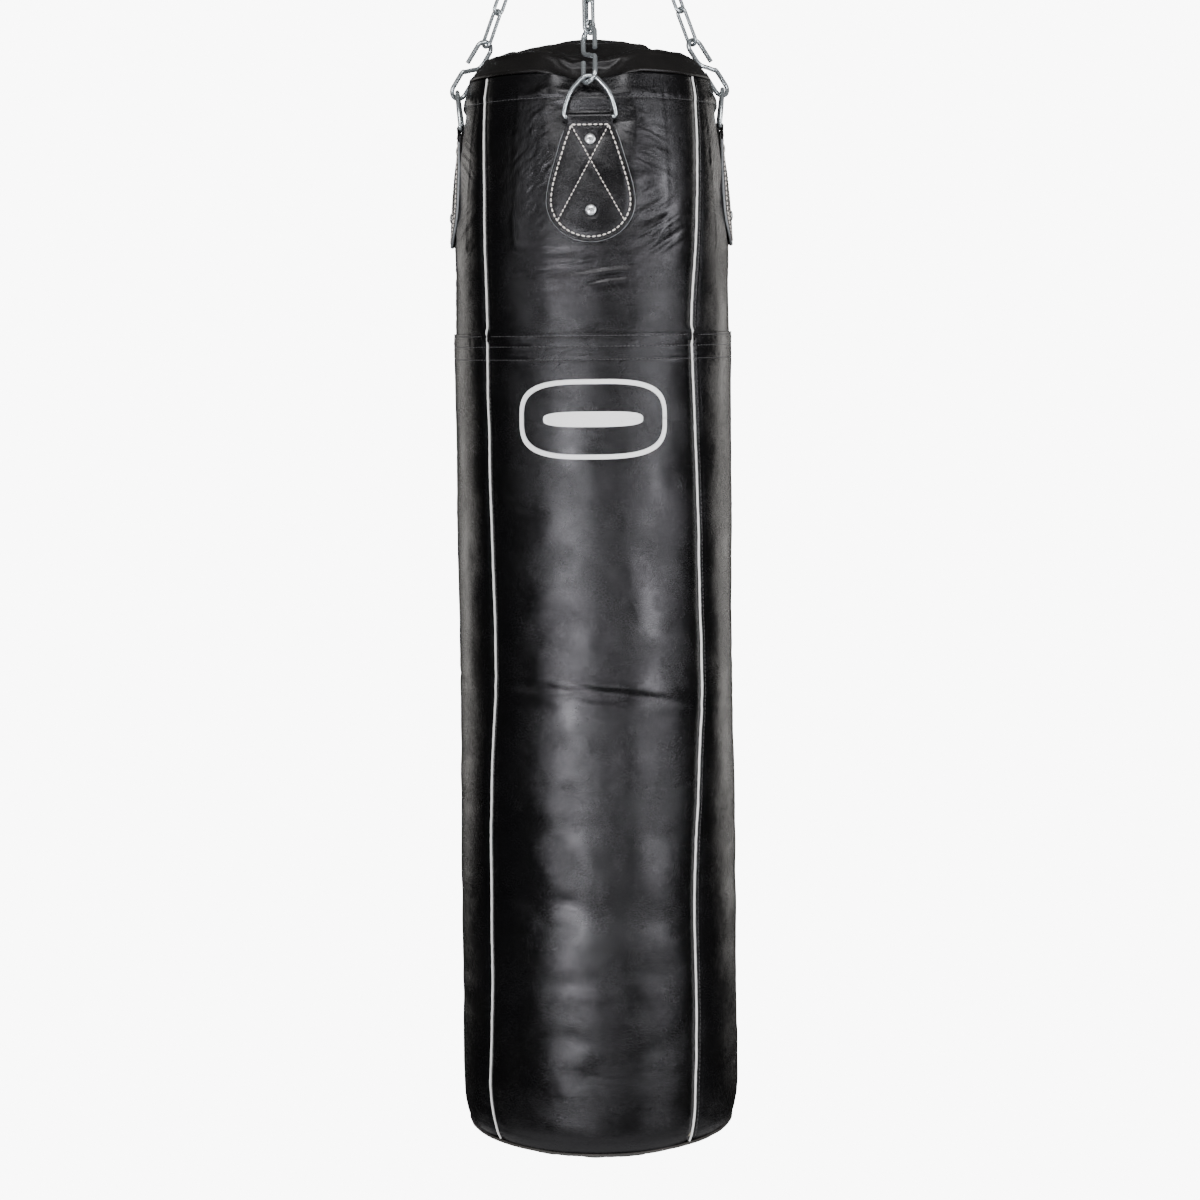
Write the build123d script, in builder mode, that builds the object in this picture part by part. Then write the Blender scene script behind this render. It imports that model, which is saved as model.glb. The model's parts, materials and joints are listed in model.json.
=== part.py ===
from build123d import *

"""Leather heavy bag hung on four chains from a ball-bearing swivel.

Frame: millimetres, +Z up, origin at the centre of the swivel's hanging eye, whose bore runs along Y.
-Y is the front of the bag. The swivel, the connecting link, the gather ring and the four chains hang
below the origin; the bag's rim is about 0.48 m and its bottom about 1.60 m below it.
"""

import os
from math import atan2, cos, degrees, radians, sin, sqrt

os.makedirs("parts", exist_ok=True)

# ---------------------------------------------------------------- swivel dimensions
EYE_BORE_R = 10.0
EYE_R = 20.0
EYE_T = 12.0
EYE_CHAMFER = 1.5
STEM_R = 10.0
STEM_H = 12.0
CAP_R = 18.0
CAP_TOP_Z = -25.0
CAP_CHAMFER = 2.0
HOUSING_TOP_Z = -31.0
HOUSING_BOT_Z = -62.0
HOUSING_BORE_R = 14.0
HOUSING_FLOOR = 6.0
HOUSING_FILLET = 3.0
FLOOR_Z = HOUSING_BOT_Z + HOUSING_FLOOR
PLUG_DEPTH = 7.0
PLUG_PLAY = 0.05
SHAFT_R = 6.0
SHAFT_PLAY = 0.05

# thrust bearing and lock nut
BALL_R = 2.4
BALL_COUNT = 10
BALL_PITCH_R = 9.8
BALL_Z = FLOOR_Z + BALL_R - 0.8
GROOVE_PLAY = 0.03
RACE_T = 2.5
RACE_Z = BALL_Z + BALL_R - 0.6
RACE_OUTER_PLAY = 0.4
RACE_INNER_PLAY = 0.2
NUT_H = 7.5
NUT_AF = 18.0
NUT_PLAY = 0.02
NUT_Z = RACE_Z + RACE_T + NUT_PLAY

# shank, from the nut down to the lower eye
SHAFT_ABOVE_NUT = 0.8
COLLAR_R = 11.0
COLLAR_T = 4.0
COLLAR_TOP_Z = HOUSING_BOT_Z - 0.4
NECK_R = 6.5
LOWER_EYE_Z = -84.0
LOWER_EYE_R = 13.0
LOWER_EYE_WIRE_R = 4.0

# ---------------------------------------------------------------- link, ring and chain dimensions
GAP = 0.1
JOIN_WIRE_R = 3.5
JOIN_BOW_R = 11.0
JOIN_STRAIGHT = 16.0
JOIN_TOP_Z = LOWER_EYE_Z - LOWER_EYE_R + LOWER_EYE_WIRE_R + JOIN_WIRE_R + GAP
JOIN_MID_Z = JOIN_TOP_Z - JOIN_BOW_R - JOIN_STRAIGHT / 2
JOIN_LOW_Z = JOIN_TOP_Z - 2 * JOIN_BOW_R - JOIN_STRAIGHT

RING_R = 17.5
RING_WIRE_R = 3.5
RING_GAP = 0.7
RING_Z = JOIN_LOW_Z + JOIN_WIRE_R + RING_WIRE_R + GAP - RING_R
# where each chain hangs on the ring, degrees from its lowest point, + towards +X
RING_SPREAD = {"front": -12.0, "back": 12.0, "left": -37.0, "right": 37.0}

LINK_WIRE_R = 2.0
LINK_PITCH = 38.0
LINK_BOW_R = 6.0
LINK_STRAIGHT = LINK_PITCH + 2 * LINK_WIRE_R - 2 * LINK_BOW_R
LINKS = 8
LINK_STEP = LINK_PITCH - GAP
# from the ring's wire centre back to the outer end of the first link's wire
LINK_OVERLAP = RING_WIRE_R + LINK_WIRE_R + RING_GAP
CHAIN_SPAN = (LINKS - 1) * LINK_STEP + LINK_PITCH + 2 * LINK_WIRE_R - LINK_OVERLAP

# ---------------------------------------------------------------- hook and D-ring dimensions
RIM_Z = -479.0
HOOK_WIRE_R = 2.5
HOOK_BOW_R = 9.25
HOOK_CENTRE = 25.5  # hook's middle to a bow's centre
HOOK_END = 4.0  # hook's middle to an open end, along its length
HOOK_DIAGONAL = 15.0  # hook's middle to an end of the diagonal, along its length
HOOK_BEND = (0.72, 5.4)  # share of the bow radius across, mm along
HOOK_TURN = 41.0
HOOK_GAP = 0.9
HOOK_OFFSET = 1.1
PIVOT_Z = RIM_Z + 44.0

DRING_APEX_R = 141.0
DRING_APEX_Z = RIM_Z - 2.5
DRING_WIRE_R = 2.25
DRING_HALF = 26.6
DRING_CORNER_R = 3.0
DRING_HEIGHT = 42.0
DRING_APEX_BOW = 13.0
DRING_LEAN = 8.0
DRING_CROWN = 40.0
DRING_SIDE = [(22.4, 19.4), (17.9, 28.3)]  # (x, z) on the side between corner and apex
DRING_GAP = 1.9
BAR_R = 139.0

# ---------------------------------------------------------------- leather dimensions
LEATHER = 1.8
SEAM_Z = -1587.5
SEAM_R = 143.5
SEAM_HALF_DEG = 0.6
PANEL_CENTRES = [0.0, 90.0, 180.0, 270.0]
PANEL_HALF_DEG = 45.0 - SEAM_HALF_DEG
SEAM_AZIMUTHS = [-135.0, -45.0, 45.0, 135.0]

# outer leather surface, (z, radius), upper part then lower part
UPPER = [
    (-483.0, 124.5),
    (-487.5, 128.0),
    (-496.0, 132.4),
    (-505.0, 133.8),
    (-531.0, 133.9),
    (-537.0, 136.6),
    (-543.0, 138.8),
    (-560.0, 141.1),
    (-576.0, 143.3),
    (-609.0, 146.2),
    (-641.0, 148.1),
    (-700.0, 148.1),
    (-777.0, 148.1),
]
LOWER = [
    (-746.0, 150.0),
    (-782.0, 150.0),
    (-830.0, 149.7),
    (-906.0, 148.8),
    (-1040.0, 147.5),
    (-1260.0, 147.6),
    (-1480.0, 147.8),
    (-1545.0, 147.6),
    (-1574.0, 146.2),
    (SEAM_Z, SEAM_R),
]
# dome over the top, (radius, height over RIM_Z)
DOME = [
    (0.0, 41.0),
    (40.0, 39.7),
    (80.0, 33.5),
    (100.0, 24.5),
    (112.0, 14.5),
    (119.0, 5.5),
    (123.0, -1.5),
    (124.5, -3.9),
]
COVER_INNER_R = 122.6
COVER_INNER_SCALE = 0.985
FLAP_R = 106.0
FLAP_EDGE_X = 57.0
FLAP_LIFT = 0.1
FLAP_BOX = (400, 400, 200)

# bottom panel, (radius, drop below SEAM_Z), from the rim to the middle
BOTTOM = [(SEAM_R - 1.0, 1.5), (138.0, 6.5), (118.0, 10.5), (70.0, 13.6), (0.0, 15.0)]
BOTTOM_T = 2.2
BOTTOM_INNER_SCALE = 0.99

# lug strap's front face below the fold, (z, radius)
LUG_FRONT = [
    (-543.0, 143.4),
    (-560.0, 145.6),
    (-576.0, 147.8),
    (-609.0, 150.8),
    (-641.0, 152.6),
    (-655.0, 152.8),
]
LUG_THICK = 4.3
LUG_HALF_TOP = 23.4
LUG_HALF_FLARE = 37.5
LUG_FLARE_Z = -569.0
LUG_HALF_WIDE = 46.0
LUG_WIDE_Z = -604.0
LUG_TIP_Z = -652.5
STRAP_PLY = 2.1
FOLD_BORE_R = DRING_WIRE_R + 0.1
FOLD_R = FOLD_BORE_R + STRAP_PLY
FOLD_ANGLE = radians(8)
STRAP_BACK_Z = (-537.5, -531.5)  # where the strap's back follows the shoulder
STRAP_BACK_GAP = 0.3

PATCH_HALF_DEG = 34.0
PATCH_TOP_Z, PATCH_LOW_Z = -503.0, -664.0
PATCH_OFF = 3.0
PATCH_T = 2.0

RIVET_Z = (-547.2, -620.2)
RIVET_SHAFT_R = 2.2
RIVET_PLAY = 0.06
RIVET_HEAD_R = 5.7
RIVET_HEAD_H = 1.7
RIVET_HEAD_TAPER = 32
RIVET_TAIL_R = 5.0
RIVET_TAIL_T = 1.0
# offsets along the rivet from the strap's front face
RIVET_HEAD_AT = 0.35
SHAFT_FRONT = 0.9
SHAFT_END = -10.4
BORE_END = -16.0
BORE_LENGTH = 20.0

PIPING_R = 1.2
PIPING_STEP = 7.0  # spacing along the curve over the shoulder
PIPING_STEPS = 22

# lining: a sewn tube with a flat bottom, (z, radius) before it is moved inward
LINING_LOW_Z = -1581.0
LINING_FLOOR_Z = -1580.0
LINING_OFF = 1.9
LINING_T = 0.9
LINING = [
    (-490.0, 129.2),
    *[(z, r) for z, r in UPPER if -776 < z < -495],
    (-778.0, 148.1),
    (-790.0, 149.6),
    *[(z, r) for z, r in LOWER if -1580 < z < -795],
    (LINING_LOW_Z, 144.4),
]
FOAM_OFF = 7.6
FOAM_T = 15.0
FOAM_TOP_Z = -500.0
FILL_LOW_Z = -1577.0
FILL_TOP_R = 110.0
FILL_LOW_R = 122.0
# top of the fill, (radius, height over RIM_Z)
FILL_TOP = [
    (0, 36.0),
    (40, 34.8),
    (80, 28.5),
    (98, 18.5),
    (FILL_TOP_R - 2.0, 8.0),
    (FILL_TOP_R, -8.0),
]

UP = Vector(0, 0, 1)
LEGS = {
    "front": Vector(0, -1, 0),
    "right": Vector(1, 0, 0),
    "back": Vector(0, 1, 0),
    "left": Vector(-1, 0, 0),
}


# ---------------------------------------------------------------- helpers
def save(part, name):
    part.label = name
    export_step(part, f"parts/{name}.step")


def post(radius, bottom, top, mode=Mode.ADD):
    """An upright cylinder on the Z axis, put into the calling BuildPart."""
    with Locations((0, 0, bottom)):
        Cylinder(radius, top - bottom, align=(Align.CENTER, Align.CENTER, Align.MIN), mode=mode)


def placed(part, location):
    """A copy of a part at a location."""
    with BuildPart() as made:
        with Locations(location):
            add(part)
    return made.part


def turned(outline):
    """A full solid of revolution about Z from a closed (radius, z) outline."""
    with BuildPart() as made:
        with BuildSketch(Plane.XZ):
            with BuildLine():
                Polyline(*outline, close=True)
            make_face()
        revolve(axis=Axis.Z, revolution_arc=360)
    return made.part


def profile_at(profile, z):
    """(radius, radius gained per mm down) of a (z, radius) profile at height z."""
    for (z0, r0), (z1, r1) in zip(profile, profile[1:]):
        if z1 <= z <= z0:
            return r0 + (r1 - r0) * (z0 - z) / (z0 - z1), (r1 - r0) / (z0 - z1)
    raise ValueError(z)


def shifted(profile, inward, low=None, high=None):
    """(radius, z) points of a (z, radius) profile moved inward, cut to heights high to low."""
    top = profile[0][0] if high is None else high
    bottom = profile[-1][0] if low is None else low
    heights = [top] + [z for z, _ in profile if bottom < z < top] + [bottom]
    return [(profile_at(profile, z)[0] - inward, z) for z in heights]


def upright(azimuth):
    """The plane through the Z axis at an azimuth: local x is the radius, local y is height."""
    angle = radians(azimuth)
    return Plane(
        origin=(0, 0, 0),
        x_dir=(cos(angle), sin(angle), 0),
        z_dir=(sin(angle), -cos(angle), 0),
    )


def square_to(vector, axis):
    """The component of a vector square to a unit axis."""
    return vector - axis * vector.dot(axis)


# ---------------------------------------------------------------- swivel
def cut_ball_groove():
    """Cut the balls' track from the calling BuildPart."""
    with Locations((0, 0, BALL_Z)):
        Torus(BALL_PITCH_R, BALL_R + GROOVE_PLAY, mode=Mode.SUBTRACT)


def swivel_cap_eye():
    with BuildPart() as cap:
        with BuildSketch(Plane.XZ):
            Circle(EYE_R)
        extrude(amount=EYE_T / 2, both=True)
        post(STEM_R, CAP_TOP_Z, CAP_TOP_Z + STEM_H)
        post(CAP_R, HOUSING_TOP_Z, CAP_TOP_Z)
        post(HOUSING_BORE_R - PLUG_PLAY, HOUSING_TOP_Z - PLUG_DEPTH, HOUSING_TOP_Z)
        with BuildSketch(Plane.XZ):
            Circle(EYE_BORE_R)
        extrude(amount=EYE_T, both=True, mode=Mode.SUBTRACT)
        circles = cap.edges().filter_by(GeomType.CIRCLE)
        chamfer(circles.filter_by(lambda e: abs(e.radius - EYE_R) < 0.01), length=EYE_CHAMFER)
        circles = cap.edges().filter_by(GeomType.CIRCLE)
        cap_edges = circles.filter_by(lambda e: abs(e.radius - CAP_R) < 0.01)
        chamfer(cap_edges.sort_by(Axis.Z)[-1], length=CAP_CHAMFER)
    return cap.part


def swivel_housing():
    with BuildPart() as housing:
        post(CAP_R, HOUSING_BOT_Z, HOUSING_TOP_Z)
        post(HOUSING_BORE_R, FLOOR_Z, HOUSING_TOP_Z, Mode.SUBTRACT)
        post(SHAFT_R + SHAFT_PLAY, HOUSING_BOT_Z, FLOOR_Z, Mode.SUBTRACT)
        cut_ball_groove()
        circles = housing.edges().filter_by(GeomType.CIRCLE)
        outer_edges = circles.filter_by(lambda e: abs(e.radius - CAP_R) < 0.01)
        fillet(outer_edges.sort_by(Axis.Z)[0], radius=HOUSING_FILLET)
    return housing.part


def thrust_race_upper():
    with BuildPart() as race:
        post(HOUSING_BORE_R - RACE_OUTER_PLAY, RACE_Z, RACE_Z + RACE_T)
        post(SHAFT_R + RACE_INNER_PLAY, RACE_Z, RACE_Z + RACE_T, Mode.SUBTRACT)
        cut_ball_groove()
    return race.part


def bearing_balls():
    with BuildPart() as balls:
        with Locations((0, 0, BALL_Z)):
            with PolarLocations(BALL_PITCH_R, BALL_COUNT):
                Sphere(BALL_R)
    return balls.part


def swivel_lock_nut():
    with BuildPart() as nut:
        with BuildSketch(Plane.XY.offset(NUT_Z)):
            RegularPolygon(NUT_AF / 2, 6, major_radius=False)
            Circle(SHAFT_R + NUT_PLAY, mode=Mode.SUBTRACT)
        extrude(amount=NUT_H)
    return nut.part


def swivel_shank():
    collar_low_z = COLLAR_TOP_Z - COLLAR_T
    with BuildPart() as shank:
        post(SHAFT_R, COLLAR_TOP_Z, NUT_Z + NUT_H + SHAFT_ABOVE_NUT)
        post(COLLAR_R, collar_low_z, COLLAR_TOP_Z)
        post(NECK_R, LOWER_EYE_Z + LOWER_EYE_R, collar_low_z)
        with Locations(Location((0, 0, LOWER_EYE_Z), (90, 0, 0))):
            Torus(LOWER_EYE_R, LOWER_EYE_WIRE_R)
    return shank.part


# ---------------------------------------------------------------- links and ring
def oval(bow_r, straight, wire_r):
    """An oval link in the XY plane, long axis along Y, centred on the origin."""
    with BuildPart() as made:
        with BuildLine() as path:
            Line((bow_r, -straight / 2), (bow_r, straight / 2))
            CenterArc((0, straight / 2), bow_r, 0, 180)
            Line((-bow_r, straight / 2), (-bow_r, -straight / 2))
            CenterArc((0, -straight / 2), bow_r, 180, 180)
        with BuildSketch(Plane(origin=(bow_r, 0, 0), z_dir=(0, 1, 0))):
            Circle(wire_r)
        sweep(path=path.wires()[0])
    return made.part


def connecting_link():
    """Upright link in the YZ plane, through the lower eye and the gather ring."""
    place = Plane(origin=(0, 0, JOIN_MID_Z), x_dir=(0, 1, 0), z_dir=(1, 0, 0))
    return placed(oval(JOIN_BOW_R, JOIN_STRAIGHT, JOIN_WIRE_R), place.location)


def gather_ring():
    with BuildPart() as ring:
        with Locations(Location((0, 0, RING_Z), (90, 0, 0))):
            Torus(RING_R, RING_WIRE_R)
    return ring.part


# ---------------------------------------------------------------- hook and D-ring
def hook_point(across, along):
    """A point of the hook's centreline, whose plane is turned about its length."""
    turn = radians(HOOK_TURN)
    return Vector(across * cos(turn), across * sin(turn), along)


def hook_arm(side):
    """Open end, bow start, bow top, bow end and diagonal's end of the top (+1) or bottom (-1)."""
    across = HOOK_BOW_R * side
    return [
        hook_point(across, side * HOOK_END),
        hook_point(across, side * HOOK_CENTRE),
        hook_point(0, side * (HOOK_CENTRE + HOOK_BOW_R)),
        hook_point(-across, side * HOOK_CENTRE),
        hook_point(-across, side * HOOK_DIAGONAL),
    ]


def s_hook():
    """The S-hook centred on the origin, its length along Z."""
    top, low = hook_arm(1), hook_arm(-1)
    share, along = HOOK_BEND
    with BuildPart() as hook:
        with BuildLine() as path:
            Line(top[0], top[1])
            ThreePointArc(top[1], top[2], top[3])
            Line(top[3], top[4])
            Spline(
                top[4],
                hook_point(-share * HOOK_BOW_R, along),
                (0, 0, 0),
                hook_point(share * HOOK_BOW_R, -along),
                low[4],
                tangents=[(0, 0, -1), (0, 0, -1)],
            )
            Line(low[4], low[3])
            ThreePointArc(low[3], low[2], low[1])
            Line(low[1], low[0])
        with BuildSketch(Plane(origin=top[0], z_dir=(0, 0, 1))):
            Circle(HOOK_WIRE_R)
        sweep(path=path.wires()[0])
    return hook.part


def d_ring():
    """The D-ring in the XZ plane, its bar centred on the origin and its apex up."""
    lean, crown = radians(DRING_LEAN), radians(DRING_CROWN)
    half_turn = radians((90 + DRING_LEAN) / 2)
    corner_x = DRING_HALF - DRING_CORNER_R
    turn_x = corner_x + DRING_CORNER_R * sin(half_turn)
    turn_z = DRING_CORNER_R * (1 - cos(half_turn))
    low_x = corner_x + DRING_CORNER_R * cos(lean)
    low_z = DRING_CORNER_R * (1 + sin(lean))
    top_x = DRING_APEX_BOW * cos(crown)
    top_z = DRING_HEIGHT - DRING_APEX_BOW + DRING_APEX_BOW * sin(crown)
    rising = [(low_x, low_z), *DRING_SIDE, (top_x, top_z)]
    falling = [(-x, z) for x, z in reversed(rising)]
    with BuildPart() as ring:
        with BuildLine(Plane.XZ) as path:
            Line((-corner_x, 0), (corner_x, 0))
            ThreePointArc((corner_x, 0), (turn_x, turn_z), (low_x, low_z))
            Spline(*rising, tangents=[(-sin(lean), cos(lean)), (-sin(crown), cos(crown))])
            ThreePointArc((top_x, top_z), (0, DRING_HEIGHT), (-top_x, top_z))
            Spline(*falling, tangents=[(-sin(crown), -cos(crown)), (-sin(lean), -cos(lean))])
            ThreePointArc((-low_x, low_z), (-turn_x, turn_z), (-corner_x, 0))
        with BuildSketch(Plane(origin=(0, 0, 0), z_dir=(1, 0, 0))):
            Circle(DRING_WIRE_R)
        sweep(path=path.wires()[0])
    return ring.part


# ---------------------------------------------------------------- the four legs
CHAIN_LINK = oval(LINK_BOW_R, LINK_STRAIGHT, LINK_WIRE_R)
S_HOOK = s_hook()
D_RING = d_ring()


def chain_ends(leg, out):
    """The chain's point on the ring's wire and its pivot on the hook, a chain's length away."""
    spread = radians(RING_SPREAD[leg])
    ring_point = Vector(RING_R * sin(spread), 0, RING_Z - RING_R * cos(spread))
    drop = ring_point.Z - PIVOT_Z
    sideways = ring_point.X * UP.cross(out).X
    outward = sqrt(CHAIN_SPAN**2 - drop**2 - sideways**2)
    return ring_point, out * (ring_point.X * out.X + outward) + UP * PIVOT_Z


def save_chain(leg, ring_point, pivot, hook_across):
    """Eight links, wound a few degrees each so that the last squares up to the hook."""
    down = (pivot - ring_point).normalized()
    width = square_to(Vector(0, 1, 0), down).normalized()
    last = square_to(hook_across, down)
    wound = degrees(atan2(width.cross(last).dot(down), width.dot(last)))
    quarter_turns = 90.0 * (LINKS - 1)
    turn = (quarter_turns + (wound - quarter_turns + 90.0) % 180.0 - 90.0) / (LINKS - 1)
    for k in range(LINKS):
        start = ring_point + down * (k * LINK_STEP - LINK_OVERLAP)
        middle = start + down * (LINK_PITCH / 2 + LINK_WIRE_R)
        place = Plane(origin=middle, x_dir=width, z_dir=width.cross(-down))
        save(placed(CHAIN_LINK, place.location), f"{leg}_chain_link_{k + 1}")
        width = width.rotate(Axis((0, 0, 0), down), turn).normalized()


def save_leg(leg, out):
    """Save a leg's chain, hook and D-ring; return the height of the D-ring's bar."""
    ring_point, pivot = chain_ends(leg, out)
    apex = out * DRING_APEX_R + UP * DRING_APEX_Z
    aim = (apex - pivot).normalized()
    outward = square_to(out, aim).normalized()
    hook_across = aim.cross(outward.rotate(Axis((0, 0, 0), aim), -HOOK_TURN))
    save_chain(leg, ring_point, pivot, hook_across)

    hook_top = pivot - aim * (LINK_WIRE_R + HOOK_WIRE_R + HOOK_GAP)
    hook_mid = hook_top + aim * (HOOK_CENTRE + HOOK_BOW_R)
    place = Plane(origin=hook_mid, x_dir=outward, z_dir=-aim)
    save(placed(S_HOOK, place.location), f"{leg}_s_hook")

    # the D-ring's apex hangs in the hook's lower bow and leans until its bar is at BAR_R
    reach = HOOK_CENTRE + HOOK_BOW_R - HOOK_WIRE_R - DRING_WIRE_R - DRING_GAP
    low_bow = hook_mid + aim * reach + outward * HOOK_OFFSET
    bar_z = low_bow.Z - sqrt(DRING_HEIGHT**2 - (BAR_R - low_bow.dot(out)) ** 2)
    bar_at = out * BAR_R + UP * bar_z
    rise = (low_bow - bar_at).normalized()
    side = UP.cross(out)
    place = Plane(origin=bar_at, x_dir=side, z_dir=side.cross(rise))
    stand = Location((0, 0, 0), (-90, 0, 0))
    save(placed(D_RING, place.location * stand), f"{leg}_d_ring")
    return bar_z


BAR_Z = {leg: save_leg(leg, out) for leg, out in LEGS.items()}


# ---------------------------------------------------------------- rivets
def rivet_frame(out, z):
    """Plane on the strap's front face at height z, facing outward."""
    face_r, slope = profile_at(LUG_FRONT, z)
    normal = (out + UP * slope).normalized()
    return Plane(origin=out * face_r + UP * z, x_dir=out.cross(UP), z_dir=normal)


RIVET_FRAMES = [rivet_frame(out, z) for out in LEGS.values() for z in RIVET_Z]


def rivet_bores():
    with BuildPart() as bores:
        for frame in RIVET_FRAMES:
            with BuildSketch(frame.offset(BORE_END)):
                Circle(RIVET_SHAFT_R + RIVET_PLAY)
            extrude(amount=BORE_LENGTH)
    return bores.part


RIVET_BORES = rivet_bores()


def lug_rivets():
    with BuildPart() as rivets:
        for frame in RIVET_FRAMES:
            with BuildSketch(frame.offset(SHAFT_END)):
                Circle(RIVET_SHAFT_R)
            extrude(amount=SHAFT_FRONT - SHAFT_END)
            with BuildSketch(frame.offset(RIVET_HEAD_AT)):
                Circle(RIVET_HEAD_R)
            extrude(amount=RIVET_HEAD_H, taper=RIVET_HEAD_TAPER)
            with BuildSketch(frame.offset(SHAFT_END)):
                Circle(RIVET_TAIL_R)
            extrude(amount=-RIVET_TAIL_T)
    return rivets.part


# ---------------------------------------------------------------- lug straps
def lug_strap(out, bar_z):
    """One strap folded round a D-ring's bar: its side section cut to its front outline."""
    fold_x, fold_z = FOLD_R * cos(FOLD_ANGLE), FOLD_R * sin(FOLD_ANGLE)
    section = [
        (BAR_R + fold_x, bar_z + fold_z),
        (BAR_R + FOLD_R - 0.1, bar_z - 9.0),
        *[(r, z) for z, r in LUG_FRONT],
        *[(r - LUG_THICK, z) for z, r in reversed(LUG_FRONT)],
        *[(profile_at(UPPER, z)[0] + STRAP_BACK_GAP, z) for z in STRAP_BACK_Z],
        (BAR_R - fold_x, bar_z - fold_z),
    ]
    top_z = bar_z + FOLD_R + 1.0
    neck_z = bar_z - 8.0
    half, flare, wide = LUG_HALF_TOP, LUG_HALF_FLARE, LUG_HALF_WIDE
    with BuildPart() as strap:
        with BuildSketch(Plane(origin=(0, 0, 0), x_dir=out, z_dir=out.cross(UP))):
            with BuildLine():
                Polyline(*section, close=True)
            make_face()
            with Locations((BAR_R, bar_z)):
                Circle(FOLD_R)
                Circle(FOLD_BORE_R, mode=Mode.SUBTRACT)
        extrude(amount=LUG_HALF_WIDE + 4, both=True)
        with BuildSketch(Plane(origin=out * 100.0, x_dir=UP.cross(out), z_dir=out)):
            with BuildLine():
                Line((-half, top_z), (half, top_z))
                Line((half, top_z), (half, neck_z))
                ThreePointArc((half, neck_z), (flare, LUG_FLARE_Z), (wide, LUG_WIDE_Z))
                ThreePointArc((wide, LUG_WIDE_Z), (0, LUG_TIP_Z), (-wide, LUG_WIDE_Z))
                ThreePointArc((-wide, LUG_WIDE_Z), (-flare, LUG_FLARE_Z), (-half, neck_z))
                Line((-half, neck_z), (-half, top_z))
            make_face()
        extrude(amount=80.0, mode=Mode.INTERSECT)
    return strap.part


def lug_straps():
    with BuildPart() as straps:
        for leg, out in LEGS.items():
            add(lug_strap(out, BAR_Z[leg]))
        add(RIVET_BORES, mode=Mode.SUBTRACT)
    return straps.part


# ---------------------------------------------------------------- leather shell
def quarters(outer, inner, half_deg):
    """Four equal pieces of a shell of revolution between two (radius, z) profiles."""
    with BuildPart() as made:
        for azimuth in PANEL_CENTRES:
            with BuildSketch(upright(azimuth - half_deg)):
                with BuildLine():
                    Polyline(*(outer + inner[::-1]), close=True)
                make_face()
            revolve(axis=Axis.Z, revolution_arc=2 * half_deg)
        add(RIVET_BORES, mode=Mode.SUBTRACT)
    return made.part


def upper_leather_panels():
    return quarters(shifted(UPPER, 0), shifted(UPPER, LEATHER), PANEL_HALF_DEG)


def lower_leather_panels():
    return quarters(shifted(LOWER, 0), shifted(LOWER, LEATHER), PANEL_HALF_DEG)


def lug_backing_patches():
    outer = shifted(UPPER, PATCH_OFF, PATCH_LOW_Z, PATCH_TOP_Z)
    inner = shifted(UPPER, PATCH_OFF + PATCH_T, PATCH_LOW_Z, PATCH_TOP_Z)
    return quarters(outer, inner, PATCH_HALF_DEG)


def white_piping():
    """Cords down the seams, from the rim to the bottom seam."""
    run = shifted(UPPER, -0.9, -740.0, -488.0)
    run += [(150.3, -760.0)] + shifted(LOWER, -0.3, SEAM_Z + 4.0, -830.0)
    with BuildPart() as piping:
        for azimuth in SEAM_AZIMUTHS:
            wall = upright(azimuth)
            # short steps along the curve over the shoulder, then straight runs down the wall
            with BuildLine(wall):
                curve = Spline(*run, mode=Mode.PRIVATE)
            bend = [curve @ (PIPING_STEP * k / curve.length) for k in range(PIPING_STEPS)]
            straight = [
                wall.from_local_coords((r, z)) for r, z in run if z < bend[-1].Z - 4.0
            ]
            cord = Wire.make_polygon([Vector(p) for p in bend + straight], close=False)
            with BuildSketch(Plane(origin=cord @ 0, z_dir=cord % 0)):
                Circle(PIPING_R)
            sweep(path=cord, transition=Transition.RIGHT)
    return piping.part


def top_cover():
    outer = [(r, RIM_Z + h) for r, h in DOME]
    inner = [(r * COVER_INNER_SCALE, z - LEATHER) for r, z in outer[-2::-1]]
    return turned(outer + [(COVER_INNER_R, outer[-1][1])] + inner)


def top_cover_flap():
    """A second layer on the dome, cut off straight at its +X edge."""
    (r0, h0), (r1, h1) = DOME[3:5]
    end = (FLAP_R, h0 + (h1 - h0) * (FLAP_R - r0) / (r1 - r0))
    base = [(r, RIM_Z + h + FLAP_LIFT) for r, h in DOME[:4] + [end]]
    with BuildPart() as flap:
        add(turned(base + [(r, z + LEATHER) for r, z in base[::-1]]))
        with Locations((FLAP_EDGE_X - FLAP_BOX[0] / 2, 0, RIM_Z)):
            Box(*FLAP_BOX, mode=Mode.INTERSECT)
    return flap.part


def bottom_panel():
    under = [(r, SEAM_Z - drop) for r, drop in BOTTOM]
    return turned(under + [(r * BOTTOM_INNER_SCALE, z + BOTTOM_T) for r, z in under[::-1]])


# ---------------------------------------------------------------- inside the bag
def canvas_lining():
    outer = shifted(LINING, LINING_OFF)
    inner = shifted(LINING, LINING_OFF + LINING_T, LINING_FLOOR_Z)
    with BuildPart() as lining:
        add(turned(outer + [(0, LINING_LOW_Z), (0, LINING_FLOOR_Z)] + inner[::-1]))
        add(RIVET_BORES, mode=Mode.SUBTRACT)
    return lining.part


def foam_wrap():
    outer = shifted(LINING, FOAM_OFF, FILL_LOW_Z, FOAM_TOP_Z)
    inner = shifted(LINING, FOAM_OFF + FOAM_T, FILL_LOW_Z, FOAM_TOP_Z)
    return turned(outer + inner[::-1])


def textile_fill():
    top = [(r, RIM_Z + h) for r, h in FILL_TOP]
    wall = [(FILL_TOP_R, -600.0), (FILL_LOW_R, -660.0), (FILL_LOW_R, FILL_LOW_Z)]
    return turned(top + wall + [(0, FILL_LOW_Z)])


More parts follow.
